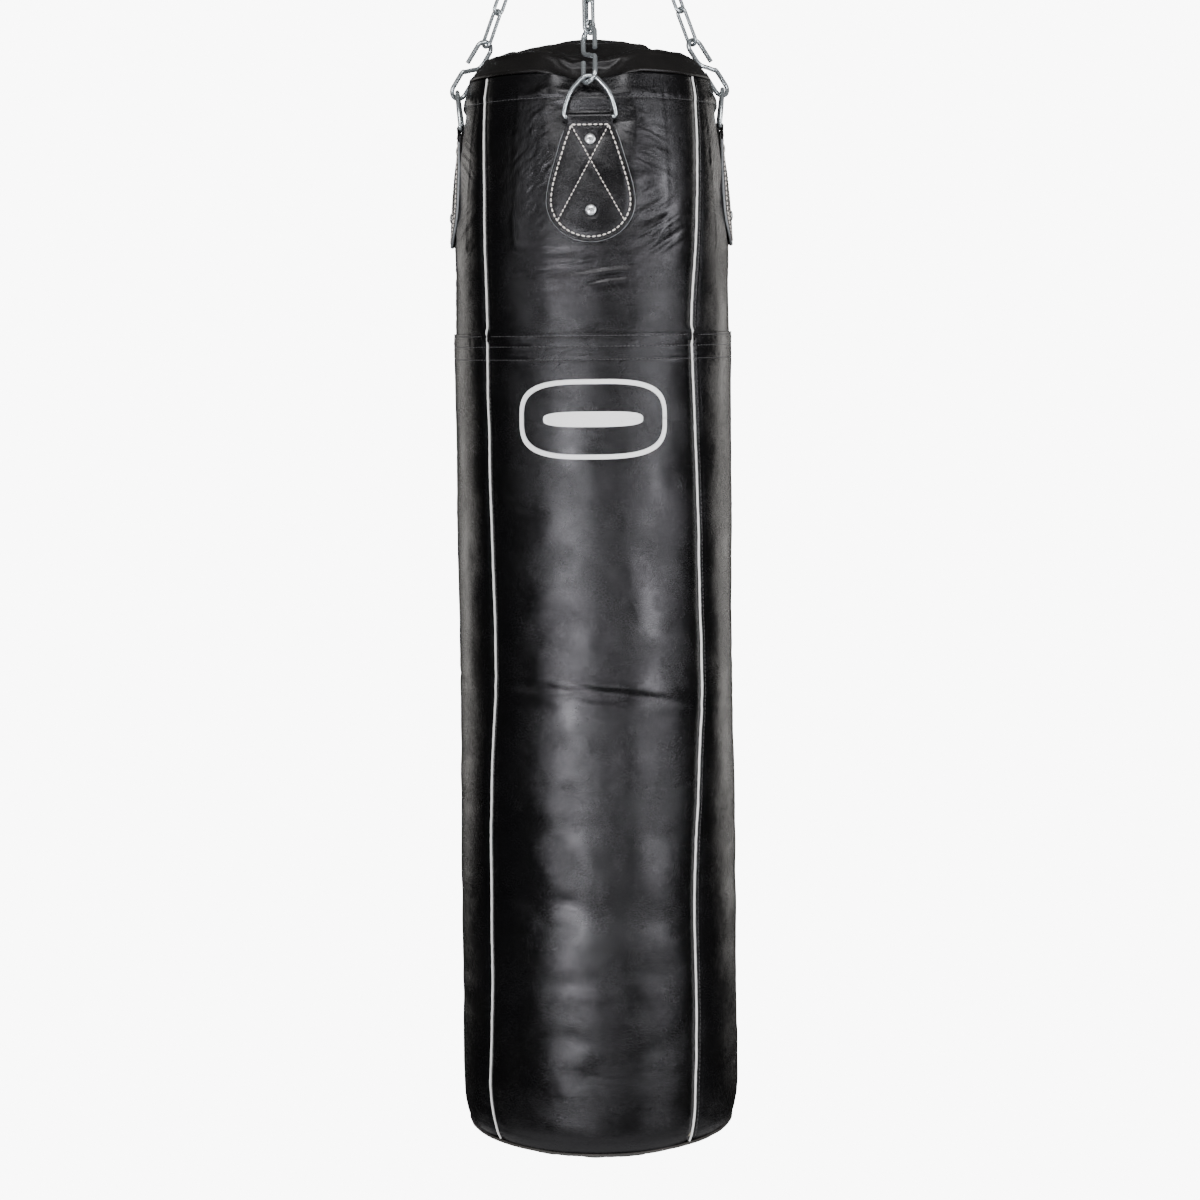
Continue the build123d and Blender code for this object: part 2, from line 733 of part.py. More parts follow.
for build in (
    swivel_cap_eye,
    swivel_housing,
    thrust_race_upper,
    bearing_balls,
    swivel_lock_nut,
    swivel_shank,
    connecting_link,
    gather_ring,
    lug_rivets,
    lug_straps,
    upper_leather_panels,
    lower_leather_panels,
    lug_backing_patches,
    white_piping,
    top_cover,
    top_cover_flap,
    canvas_lining,
    foam_wrap,
    textile_fill,
    bottom_panel,
):
    save(build(), build.__name__)
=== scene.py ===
# A black leather punch bag hung from chains. +Z is up, the bag's axis is Z, its front faces -Y.
# Four upper and four lower panels meet at a band; four lugs hold the D-rings.
# Shapes are worked out in mm. A place on the bag is a turn (degrees from the front
# towards +X), a radius and a height z.
import functools
import json
import math
import bpy
import numpy as np
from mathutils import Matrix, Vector


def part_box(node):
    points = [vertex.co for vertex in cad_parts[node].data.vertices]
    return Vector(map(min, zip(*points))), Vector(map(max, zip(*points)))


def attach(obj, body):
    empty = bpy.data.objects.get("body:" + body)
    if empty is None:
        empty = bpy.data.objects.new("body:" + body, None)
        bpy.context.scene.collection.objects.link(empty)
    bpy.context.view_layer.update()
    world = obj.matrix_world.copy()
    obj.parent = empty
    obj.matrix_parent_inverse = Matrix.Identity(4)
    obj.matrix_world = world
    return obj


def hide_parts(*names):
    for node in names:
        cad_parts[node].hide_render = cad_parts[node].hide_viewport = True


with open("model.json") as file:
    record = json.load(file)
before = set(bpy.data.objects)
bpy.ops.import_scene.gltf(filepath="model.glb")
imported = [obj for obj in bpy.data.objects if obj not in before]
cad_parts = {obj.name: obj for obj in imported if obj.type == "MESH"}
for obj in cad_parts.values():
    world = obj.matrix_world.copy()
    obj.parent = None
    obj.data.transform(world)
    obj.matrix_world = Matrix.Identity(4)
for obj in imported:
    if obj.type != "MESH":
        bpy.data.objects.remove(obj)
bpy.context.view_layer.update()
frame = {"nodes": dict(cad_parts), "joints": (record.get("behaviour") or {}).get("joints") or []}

MM = 0.001
JOINT = {joint["name"]: joint for joint in frame["joints"]}

panel_low, panel_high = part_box("lower_leather_panels")
BAND_Z = panel_high.z / MM  # where upper and lower panels meet
SEAM_Z = panel_low.z / MM  # bottom seam
RIM_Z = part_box("upper_leather_panels")[1].z / MM + 4.0
BOTTOM_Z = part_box("bottom_panel")[0].z / MM
RIM_LIFT = 5.0
SKIN_R = 149.0  # nominal radius, turns degrees into mm round the bag
GIRTH = 2 * math.pi * SKIN_R
SIDES = {"front": 0.0, "right": 90.0, "back": 180.0, "left": 270.0}
FRONT_BACK = ("front", "back")
SEAMS = [-45.0, 45.0, 135.0, 225.0]  # turn of each upright seam


# ---------------------------------------------------------------- geometry tools
def at(turn, radius, z):
    """The point at a turn in degrees, a radius and a height."""
    angle = np.radians(turn)
    parts = np.broadcast_arrays(radius * np.sin(angle), -radius * np.cos(angle), z)
    return np.stack(parts, -1)


def arc_of(turn):
    return turn * math.pi / 180.0 * SKIN_R


def turn_of(arc):
    return arc / SKIN_R * 180 / math.pi


def arc_from(turn, centre):
    """Signed distance round the bag from a centre turn, in mm."""
    return arc_of((turn - centre + 180.0) % 360.0 - 180.0)


def smooth(x, low, high):
    """0 below low, 1 above high, eased between."""
    part = np.clip((x - low) / (high - low), 0, 1)
    return part * part * (3 - 2 * part)


def bell(x, width):
    return np.exp(-((x / width) ** 2))


def spot(x, width, y, height):
    """A two-way bell, 1 where x and y are 0."""
    return np.exp(-((x / width) ** 2) - (y / height) ** 2)


def unit(vectors):
    return vectors / np.linalg.norm(vectors, axis=-1, keepdims=True)


LATTICE = 256


@functools.cache
def lattice(seed, columns):
    return np.random.default_rng(seed).uniform(-1, 1, (columns, LATTICE))


def noise(u, v, cell_u, cell_v, seed, period=None):
    """Smooth value noise with the given cell sizes; u repeats after period."""
    if period:
        columns = max(2, int(round(period / cell_u)))
        x = (u / period % 1.0) * columns
    else:
        columns = LATTICE
        x = u / cell_u + 100.0
    y = v / cell_v + 300.0
    values = lattice(seed, columns)
    column, row = np.floor(x).astype(int), np.floor(y).astype(int)
    ease_x, ease_y = (
        part * part * part * (part * (part * 6 - 15) + 10) for part in (x - column, y - row)
    )

    def across(level):
        near = values[column % columns, level % LATTICE]
        far = values[(column + 1) % columns, level % LATTICE]
        return near * (1 - ease_x) + far * ease_x

    return across(row) * (1 - ease_y) + across(row + 1) * ease_y


def ridges(u, v, angle, spacing, length, seed):
    """Creases running at angle (degrees from +u)."""
    cos, sin = math.cos(math.radians(angle)), math.sin(math.radians(angle))
    along, across = u * cos + v * sin, -u * sin + v * cos
    across = across + 2.5 * noise(along, across, length * 0.7, spacing * 4, seed + 1)
    return 0.65 - np.abs(noise(along, across, length, spacing, seed)) * 2.2


def interp(x, points):
    return np.interp(x, *zip(*sorted(points)))


def soft_interp(x, points, span, count=5):
    """interp with its corners rounded over about span."""
    shifts = [span * (k / (count - 1) - 0.5) for k in range(count)]
    return sum(interp(x + shift, points) for shift in shifts) / count


def crowd_ends(s, power):
    """Crowd values in -1..1 towards both ends."""
    return np.sign(s) * (1 - (1 - np.abs(s)) ** power)


def full_circle(count):
    return np.linspace(0, 2 * np.pi, count, endpoint=False)


def polar_grid(radii, count):
    """Radius, turn, x and y of a disc's points, one row per radius."""
    turns = np.linspace(0, 360, count, endpoint=False)
    radius, turn = np.meshgrid(radii, turns, indexing="ij")
    return radius, turn, radius * np.sin(np.radians(turn)), -radius * np.cos(np.radians(turn))


# ---------------------------------------------------------------- mesh tools
def bag_piece(name, verts, faces, material, slot, node=None, cloth=None):
    """A smooth mesh (mm) riding on the bag; cloth holds puff's settings."""
    mesh = bpy.data.meshes.new(name)
    points = (np.asarray(verts, float) * MM).tolist()
    mesh.from_pydata(points, [], [list(map(int, face)) for face in faces])
    mesh.validate()
    mesh.update()
    mesh.polygons.foreach_set("use_smooth", np.ones(len(mesh.polygons), bool))
    ob = bpy.data.objects.new(name, mesh)
    bpy.context.scene.collection.objects.link(ob)
    mesh.materials.append(material)
    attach(ob, "bag")
    if cloth:
        puff(ob, **cloth)
    if node:
        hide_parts(node)
    return ob


def grid_faces(rows, columns, around=False, looped=False, start=0, flip=False):
    """Quads of a grid; around joins the last column to the first, looped the rows."""
    row = np.arange(rows if looped else rows - 1)
    column = np.arange(columns if around else columns - 1)
    i, j = np.meshgrid(row, column, indexing="ij")
    i2, j2 = (i + 1) % rows, (j + 1) % columns
    corners = [i * columns + j, i * columns + j2, i2 * columns + j2, i2 * columns + j]
    faces = np.stack(corners, -1).reshape(-1, 4) + start
    return faces[:, ::-1] if flip else faces


def fan(centre, start, count, flip=False):
    """Triangles from a centre vertex to a ring of vertices."""
    pairs = [(start + j, start + (j + 1) % count) for j in range(count)]
    return [[centre, *pair[:: -1 if flip else 1]] for pair in pairs]


def tube(path, side, out, half_side, half_out, count):
    """Points of oval rings along a path, half_side and half_out their half axes."""
    angle = full_circle(count)
    wide = np.broadcast_to(half_side, len(path))[:, None] * np.cos(angle)
    deep = np.broadcast_to(half_out, len(path))[:, None] * np.sin(angle)
    rings = path[:, None] + side[:, None] * wide[..., None] + out[:, None] * deep[..., None]
    return rings.reshape(-1, 3)


def tube_faces(rings, count):
    last = range((rings - 1) * count, rings * count)
    return [*grid_faces(rings, count, around=True), range(count), last[::-1]]


class Batch:
    """Collects many small closed forms into one mesh."""

    def __init__(self):
        self.verts, self.blocks, self.count = [], [], 0

    def add(self, verts, *blocks):
        self.verts.append(np.asarray(verts, float))
        self.blocks += [np.asarray(block) + self.count for block in blocks]
        self.count += len(verts)

    def piece(self, name, material, slot, node=None):
        faces = [face for block in self.blocks for face in block.tolist()]
        return bag_piece(name, np.concatenate(self.verts), faces, material, slot, node)


def stitches(
    batch, path, normals, length, gap, radius, lift, arch, seed, flat=1.0, jitter=0.0
):
    """Stitches laid end to end along a path, each a small arched grain diving at its ends."""
    steps = np.linalg.norm(np.diff(path, axis=0), axis=1)
    distance = np.concatenate([[0], np.cumsum(steps)])
    count = max(1, int(round(distance[-1] / (length + gap))))
    pitch = distance[-1] / count
    rng = np.random.default_rng(seed)
    rings, around = 7, 8
    along = np.linspace(0, 1, rings)
    taper = np.sqrt(np.clip(1 - (2 * along - 1) ** 4, 0.08, 1))
    faces = grid_faces(rings, around, around=True)
    caps = [range(around)[::-1], range((rings - 1) * around, rings * around)]
    for n in range(count):
        start = n * pitch + gap / 2 + rng.uniform(-jitter, jitter)
        end = (n + 1) * pitch - gap / 2 + rng.uniform(-jitter, jitter)
        where = start + (end - start) * along
        centre, out = (
            np.stack([np.interp(where, distance, axis) for axis in line.T], 1)
            for line in (path, normals)
        )
        out = unit(out)
        side = np.cross(unit(np.gradient(centre, axis=0)), out)
        centre = centre + out * (lift + arch * np.sin(np.pi * along) - 0.35 * arch)[:, None]
        lean = rng.uniform(-jitter, jitter)
        centre = centre + side * (lean * (2 * along - 1))[:, None]
        grain = tube(centre, side, out, radius * taper, radius * flat * taper, around)
        batch.add(grain, faces, caps)


# ---------------------------------------------------------------- shader tools
def fill_in(tree, node, **values):
    """Set or link a node's inputs (a space in a name is written _) and its properties."""
    for key, value in values.items():
        socket = key.replace("_", " ")
        if socket in node.inputs:
            feed(tree, node.inputs[socket], value)
        else:
            setattr(node, key, value)
    return node


def feed(tree, socket, value):
    if isinstance(value, bpy.types.NodeSocket):
        tree.links.new(value, socket)
    else:
        socket.default_value = value


def math_node(tree, operation, first, second, clamp=False):
    node = tree.nodes.new("ShaderNodeMath")
    node.operation, node.use_clamp = operation, clamp
    feed(tree, node.inputs[0], first)
    feed(tree, node.inputs[1], second)
    return node.outputs[0]


class Shader:
    """A material round one Principled shader, textured in object coordinates."""

    def __init__(self, name):
        self.material = bpy.data.materials.new(name)
        self.material.use_nodes = True
        self.tree = self.material.node_tree
        self.tree.nodes.clear()
        output = self.node("ShaderNodeOutputMaterial")
        self.principled = self.node("ShaderNodeBsdfPrincipled")
        self.tree.links.new(self.principled.outputs[0], output.inputs[0])
        self.coords = self.node("ShaderNodeTexCoord").outputs["Object"]

    def node(self, kind, **values):
        return fill_in(self.tree, self.tree.nodes.new(kind), **values)

    def surface(self, **values):
        fill_in(self.tree, self.principled, **values)

    def stretch(self, scale):
        return self.node("ShaderNodeMapping", Scale=scale, Vector=self.coords).outputs[0]

    def noise(self, scale, detail=3.0, rough=0.55, vector=None, distortion=0.0):
        return self.node(
            "ShaderNodeTexNoise", Scale=scale, Detail=detail, Roughness=rough,
            Distortion=distortion, Vector=vector or self.coords,
        ).outputs["Fac"]

    def cells(self, scale, edge, vector=None):
        """Voronoi cells: 0 on their borders, 1 from edge inwards."""
        distance = self.node(
            "ShaderNodeTexVoronoi", Scale=scale, feature="DISTANCE_TO_EDGE",
            Vector=vector or self.coords,
        ).outputs["Distance"]
        return self.rescale(distance, 0.0, edge)

    def ramp(self, factor, stops):
        node = self.node("ShaderNodeValToRGB")
        elements = node.color_ramp.elements
        while len(elements) < len(stops):
            elements.new(0.5)
        for element, (position, colour) in zip(elements, stops):
            element.position = position
            element.color = (*colour, 1)
        feed(self.tree, node.inputs[0], factor)
        return node.outputs[0]

    def rescale(self, value, low, high):
        """Map low..high to 0..1."""
        return self.node(
            "ShaderNodeMapRange", From_Min=low, From_Max=high, To_Min=0.0, To_Max=1.0, Value=value
        ).outputs[0]

    def math(self, operation, first, second):
        return math_node(self.tree, operation, first, second)

    def scaled(self, value, factor, plus):
        return self.math("ADD", self.math("MULTIPLY", value, factor), plus)

    def blend(self, first, share, second, other_share):
        first = self.math("MULTIPLY", first, share)
        return self.math("ADD", first, self.math("MULTIPLY", second, other_share))

    def bump(self, height, strength, distance, onto=None):
        under = {"Normal": onto} if onto else {}
        return self.node(
            "ShaderNodeBump", Strength=strength, Distance=distance, Height=height, **under
        ).outputs[0]


def shade(colour, factor):
    return tuple(min(1, part * factor) for part in colour)


# ---------------------------------------------------------------- materials
def leather(
    name, dark=(0.0013, 0.0013, 0.0014), light=(0.0032, 0.0032, 0.0035), rough=(0.23, 0.32),
    grain=1.0, wrinkle=1.0, pebble=780.0,
):
    """Leather; pebble is the scale of its pores, grain and wrinkle their strengths."""
    leaf = Shader(name)
    broad = leaf.noise(scale=9.0, detail=3, rough=0.6)
    medium = leaf.noise(scale=70.0, detail=4, rough=0.6)
    tone = leaf.blend(broad, 0.6, medium, 0.4)
    leaf.surface(Base_Color=leaf.ramp(tone, [(0.32, dark), (0.68, light)]))
    # pores
    pores = leaf.cells(scale=pebble, edge=0.12)
    fine = leaf.noise(scale=2400.0, detail=2, rough=0.6)
    # the crumpled net of the grain, on warped coordinates
    warp = leaf.node("ShaderNodeVectorMath", operation="ADD")
    jitter = leaf.node("ShaderNodeTexNoise", Scale=120.0, Detail=2.0, Vector=leaf.coords)
    shift = leaf.node(
        "ShaderNodeVectorMath", operation="SCALE", Scale=0.010, Vector=jitter.outputs["Color"]
    )
    feed(leaf.tree, warp.inputs[0], leaf.stretch((1.0, 1.0, 1.7)))
    feed(leaf.tree, warp.inputs[1], shift.outputs[0])
    net = leaf.cells(scale=300.0, edge=0.16, vector=warp.outputs[0])
    small_net = leaf.cells(scale=560.0, edge=0.2, vector=warp.outputs[0])
    # long fine creases that come and go
    where = leaf.rescale(leaf.noise(scale=20.0, detail=3, rough=0.55), low=0.38, high=0.62)
    upright = leaf.stretch((1.0, 1.0, 4.5))
    flow = leaf.noise(scale=230.0, detail=5, rough=0.7, vector=upright, distortion=0.7)
    height = leaf.blend(pores, 0.5 * grain, fine, 0.3 * grain)
    bump = leaf.bump(height, strength=0.18, distance=0.00025)
    crumple = leaf.blend(net, 0.55, small_net, 0.45)
    crumple = leaf.math("MULTIPLY", crumple, leaf.scaled(where, factor=0.75, plus=0.25))
    bump = leaf.bump(crumple, strength=0.26 * grain, distance=0.0009, onto=bump)
    creases = leaf.math("MULTIPLY", flow, leaf.scaled(where, factor=0.8, plus=0.3))
    bump = leaf.bump(creases, strength=0.36 * wrinkle, distance=0.0016, onto=bump)
    gloss = leaf.noise(scale=30.0, detail=4, rough=0.65)
    gloss = leaf.scaled(gloss, factor=rough[1] - rough[0], plus=rough[0])
    leaf.surface(
        Normal=bump,
        Roughness=leaf.math("SUBTRACT", gloss, leaf.math("MULTIPLY", net, 0.05)),
        Specular_IOR_Level=0.34,
        Specular_Tint=(0.975, 0.965, 1.0, 1),
        Coat_Weight=0.0,
        Coat_Roughness=0.3,
    )
    return leaf.material


def zinc(name, tone=(0.41, 0.445, 0.46), rough=0.24, dull=1.0):
    """Plated metal; dull is how much its roughness varies."""
    metal = Shader(name)
    medium = metal.noise(scale=110.0, detail=3, rough=0.55)
    fine = metal.noise(scale=600.0, detail=3, rough=0.5)
    stops = [(0.35, shade(tone, 0.92)), (0.52, tone), (0.72, shade(tone, 1.05))]
    metal.surface(
        Base_Color=metal.ramp(metal.blend(medium, 0.7, fine, 0.3), stops),
        Metallic=0.78,
        Roughness=metal.scaled(
            metal.noise(scale=260.0, detail=3, rough=0.55), factor=0.10 * dull, plus=rough - 0.02
        ),
    )
    drawn = metal.stretch((1.0, 1.0, 0.2))
    streak = metal.noise(scale=500.0, detail=3, rough=0.5, vector=drawn)
    height = metal.blend(fine, 0.5, streak, 0.5)
    metal.surface(Normal=metal.bump(height, strength=0.03, distance=0.0003))
    return metal.material


def thread(name, colour, rough=0.65):
    cord = Shader(name)
    fibre = cord.noise(scale=2600.0, detail=3, rough=0.6)
    cord.surface(
        Base_Color=cord.ramp(fibre, [(0.3, shade(colour, 0.72)), (0.7, colour)]),
        Roughness=rough,
        Normal=cord.bump(fibre, strength=0.5, distance=0.0004),
        Sheen_Weight=0.25,
    )
    return cord.material


def weave(name, colour, scale=900.0, rough=0.85):
    cloth = Shader(name)
    waves = [
        cloth.node(
            "ShaderNodeTexWave", Scale=scale, Distortion=1.2, bands_direction=axis,
            Vector=cloth.coords,
        ).outputs["Fac"]
        for axis in "XZ"
    ]
    height = cloth.math("MULTIPLY", *waves)
    patchy = cloth.noise(scale=60.0, detail=4, rough=0.6)
    tone = cloth.blend(height, 0.4, patchy, 0.6)
    cloth.surface(
        Base_Color=cloth.ramp(tone, [(0.25, shade(colour, 0.6)), (0.75, colour)]),
        Roughness=rough,
        Normal=cloth.bump(height, strength=0.6, distance=0.0006),
    )
    return cloth.material


def print_white(name):
    """White print with fine cracks."""
    ink = Shader(name)
    crack = ink.cells(scale=700.0, edge=0.03)
    worn = ink.noise(scale=160.0, detail=4, rough=0.6)
    tone = ink.math("MULTIPLY", crack, ink.rescale(worn, low=0.25, high=0.4))
    ink.surface(
        Base_Color=ink.ramp(tone, [(0.0, (0.5, 0.5, 0.5)), (0.6, (0.86, 0.86, 0.85))]),
        Roughness=0.5,
        Normal=ink.bump(ink.math("ADD", crack, worn), strength=0.3, distance=0.0003),
    )
    return ink.material


UPPER_LEATHER = leather("leather_upper", grain=0.6, wrinkle=0.7, pebble=620.0)
LOWER_LEATHER = leather("leather_lower", grain=0.55, wrinkle=0.6, pebble=900.0)
# the top cover's leather is lighter and warmer than the other leathers: painted sheen, standing in
# for the soft brownish sheen on the dome
TOP_LEATHER_PAINTED_SHEEN = leather(
    "leather_top_painted_sheen", dark=(0.0032, 0.003, 0.0028), light=(0.0075, 0.0068, 0.0064),
    rough=(0.36, 0.46), grain=0.7, wrinkle=0.5,
)
LUG_LEATHER = leather(
    "leather_lug", dark=(0.0016, 0.0016, 0.0018), light=(0.0034, 0.0034, 0.0037),
    rough=(0.24, 0.32), grain=0.5, wrinkle=0.6, pebble=1000.0,
)
# a pale leather for the back ply's edge round each lug: a painted highlight along the lug's outline
LUG_EDGE_HIGHLIGHT_LEATHER = leather(
    "leather_lug_edge_painted_highlight", dark=(0.10, 0.105, 0.11), light=(0.26, 0.27, 0.28),
    rough=(0.5, 0.65), grain=0.5, wrinkle=0.2,
)
# the bottom welt's leather, far paler than the bag's black: a painted highlight line along the
# bottom seam
WELT_LEATHER_PAINTED_HIGHLIGHT = leather(
    "leather_welt_painted_highlight", dark=(0.02, 0.019, 0.018), light=(0.05, 0.045, 0.04),
    rough=(0.6, 0.8), grain=0.6, wrinkle=0.2,
)
BOTTOM_LEATHER = leather("leather_bottom", grain=0.9, wrinkle=0.7)
PIPING = thread("piping_white", (0.83, 0.82, 0.80), rough=0.42)
NATURAL_THREAD = thread("thread_natural", (0.86, 0.80, 0.74))
BLACK_THREAD = thread("thread_black", (0.012, 0.012, 0.013), rough=0.5)
WHITE_PRINT = print_white("print_white")
CHAIN = zinc("zinc_chain")
HOOK = zinc("zinc_hook", tone=(0.43, 0.465, 0.48), rough=0.22)
RING = zinc("zinc_ring", tone=(0.43, 0.465, 0.48), rough=0.2)
SWIVEL = zinc("zinc_swivel", tone=(0.5, 0.52, 0.535), rough=0.3)
STEEL = zinc("bearing_steel", tone=(0.62, 0.62, 0.63), rough=0.14, dull=0.5)
RIVET = zinc("rivet_steel", tone=(0.62, 0.635, 0.64), rough=0.26)
CANVAS = weave("canvas_natural", (0.46, 0.42, 0.33))
TEXTILE = weave("textile_offcuts", (0.3, 0.29, 0.31), scale=500.0)
FOAM = weave("foam_grey", (0.16, 0.16, 0.17), scale=2200.0, rough=0.9)
PATCH = leather(
    "leather_patch", dark=(0.03, 0.022, 0.016), light=(0.06, 0.045, 0.03), rough=(0.6, 0.8)
)


# ---------------------------------------------------------------- cloth
def vertex_places(mesh):
    places = np.empty(len(mesh.vertices) * 3)
    mesh.vertices.foreach_get("co", places)
    return places.reshape(-1, 3)


def puff(ob, held, pressure, slack, cap, frames=18):
    """Blow a sheet up as cloth; held vertices stay, slack is spare cloth, cap in mm."""
    before = vertex_places(ob.data)
    group = ob.vertex_groups.new(name="held")
    group.add([int(i) for i in held], 1.0, "REPLACE")
    modifier = ob.modifiers.new("cloth", "CLOTH")
    cloth = modifier.settings
    cloth.quality = 5
    cloth.mass = 0.25
    cloth.tension_stiffness = cloth.compression_stiffness = 12.0
    cloth.shear_stiffness = 6.0
    cloth.bending_stiffness = 0.6
    cloth.use_pressure = True
    cloth.uniform_pressure_force = pressure
    cloth.shrink_min = -slack
    cloth.vertex_group_mass = "held"
    cloth.effector_weights.gravity = 0.0
    modifier.collision_settings.use_collision = False
    scene = bpy.context.scene
    for number in range(1, frames + 1):
        scene.frame_set(number)
    after = vertex_places(ob.evaluated_get(bpy.context.evaluated_depsgraph_get()).data)
    ob.modifiers.remove(modifier)
    scene.frame_set(1)
    # shorten long moves to the cap and drop any that aren't finite
    move = after - before
    size = np.linalg.norm(move, axis=1)
    keep = np.minimum(1.0, cap * MM / np.maximum(size, 1e-9))
    keep[~np.isfinite(size)] = 0.0
    move = np.nan_to_num(move) * keep[:, None]
    ob.data.vertices.foreach_set("co", (before + move).ravel())
    ob.data.update()
    ob.vertex_groups.clear()


# ---------------------------------------------------------------- the leather surface
# (drop below the rim, radius)
UPPER_DROPS = [
    (-8, 130.6), (-3, 131.4), (0, 132.0), (6, 133.4), (12, 134.8), (21, 136.2), (34, 137.8),
    (50, 139.8), (66, 141.8), (90, 144.3), (120, 146.9), (150, 148.6), (178, 149.2),
    (230, 149.0), (262, 148.9), (320, 148.6),
]
# (z, radius)
UPPER_PROFILE = [(RIM_Z - drop, radius) for drop, radius in UPPER_DROPS]
UPPER_BEHIND_LUG = [
    (-468.0, 123.6), (-476.0, 124.0), (-483.0, 124.9), (-487.5, 128.0), (-496.0, 132.4),
    (-505.0, 133.8), (-531.0, 133.9), (-537.0, 136.6), (-543.0, 138.8), (-560.0, 141.1),
    (-576.0, 143.3), (-609.0, 146.2), (-641.0, 148.1), (-700.0, 148.1), (-800.0, 148.1),
]
LOWER_PROFILE = [
    (BAND_Z + 4, 150.0), (BAND_Z - 84, 149.7), (-906.0, 148.9), (-1040.0, 147.5),
    (-1260.0, 147.7), (-1480.0, 147.8), (SEAM_Z + 42, 147.6), (SEAM_Z + 26, 146.9),
    (SEAM_Z + 14, 145.2), (SEAM_Z + 6, 142.9), (SEAM_Z, 140.4),
]
# how far each seam strays from its nominal turn: (z, degrees)
SEAM_PATHS = [
    [(-440, -12.0), (-482, -11.9), (-569, -6.4), (-660, -3.6), (-746, -2.9), (-1065, -1.5),
     (-1117, -0.9), (-1200, -3.6), (-1280, -4.9), (-1401, -5.1), (-1500, -7.0), (-1546, -8.6),
     (-1574, -4.6), (-1620, -3.6)],
    [(-440, 12.0), (-482, 11.8), (-569, 6.8), (-660, 2.2), (-746, -0.7), (-900, 1.6),
     (-1065, 3.8), (-1129, 4.0), (-1230, 0.5), (-1323, -1.9), (-1494, -1.6), (-1566, -2.8),
     (-1580, -3.7), (-1620, -3.8)],
    [(-440, -11.6), (-570, -6.2), (-746, -1.0), (-1100, 1.5), (-1350, -2.0), (-1540, 0.4),
     (-1620, 2.4)],
    [(-440, 11.6), (-570, 6.2), (-746, 1.4), (-1000, -1.5), (-1250, 1.8), (-1540, -1.0),
     (-1620, -2.6)],
]
# creases fanned off the lug's shoulders and tip: (arc, drop, the spread of each,
# depth, angle, spacing, length, seed)
LUG_CREASES = [
    (58, 84, 24, 26, 0.62, -27, 5.4, 46, 0),
    (58, 84, 24, 26, 0.45, -20, 10.0, 60, 20),
    (58, 158, 30, 28, 0.58, 30, 5.4, 46, 1),
    (58, 158, 30, 28, 0.4, 24, 10.0, 60, 21),
    (8, 203, 62, 17, 0.46, 6, 5.6, 50, 2),
    (-60, 92, 26, 58, 0.22, 50, 3.8, 15, 3),
    (-60, 92, 26, 58, 0.14, 34, 4.2, 18, 23),
]
# soft dents in the lower body: (turn, z, half width in degrees, half height, depth, lean)
DENTS = [
    (-14, -1112, 34, 6.0, 2.1, -0.10), (22, -1122, 26, 5.0, 1.6, -0.10),
    (-12, -1180, 17, 11, 1.9, -0.04), (30, -1176, 14, 12, 1.4, 0.02),
    (-16, -1256, 19, 12, 2.1, 0.05), (34, -1270, 18, 16, 1.6, 0.0),
    (8, -1342, 30, 17, 2.4, -0.12), (-20, -1330, 14, 9, 1.2, 0.08),
    (-15, -1412, 16, 9, 1.7, 0.05), (26, -1402, 15, 14, 1.3, 0.0),
    (-12, -1471, 18, 10, 1.8, 0.06), (30, -1478, 18, 12, 1.3, -0.05),
    (-14, -1544, 17, 12, 1.7, 0.0), (28, -1550, 17, 12, 1.4, 0.0),
    (-16, -1038, 22, 13, 1.5, 0.05), (28, -1052, 16, 12, 1.3, 0.0),
    (-20, -972, 18, 12, 1.1, 0.0), (24, -985, 20, 12, 1.2, 0.04),
    (4, -915, 24, 12, 0.9, -0.03),
]
# (turn of the side, how strongly the dents show there)
DENT_SIDES = [(0, 1.0), (90, 0.8), (180, 0.95), (270, 0.8)]
BAND_STITCHES = (2.5, 13.5, 27.0)  # stitch lines, mm below the band
HEM_DROP = 24.0  # stitch line round the rim, mm below it
SEAM_STITCH_ARC = 4.8  # stitch line beside each upright seam


def beside_lug(turn):
    """1 in line with a lug, falling to 0 at its sides; front and back reach further."""
    near = np.zeros_like(turn)
    for side, centre in SIDES.items():
        reach = (13, 58) if side in FRONT_BACK else (11, 27)
        near = np.maximum(near, 1 - smooth(np.abs(arc_from(turn, centre)), *reach))
    return near


def seam_shift(k, z):
    """How far seam k strays from its nominal turn at z, in mm round the bag."""
    path = soft_interp(z, SEAM_PATHS[k], span=44, count=7)
    return arc_of(path) + 0.5 * noise(0, z, 10, 60.0, 40 + k)


def seam_relief(turn, z):
    """The valley at each seam, with the lap and the stitch line beside it."""
    relief = np.zeros_like(turn)
    for k, seam in enumerate(SEAMS):
        arc = arc_from(turn, seam) - seam_shift(k, z)
        relief += -2.1 * bell(arc, 6.5) - 0.9 * bell(arc, 17.0)
        relief += 0.85 * smooth(arc, 1.2, 2.0) * (1 - smooth(arc, 6.2, 7.0))
        relief += -0.35 * bell(arc - SEAM_STITCH_ARC, 0.7)
    return relief


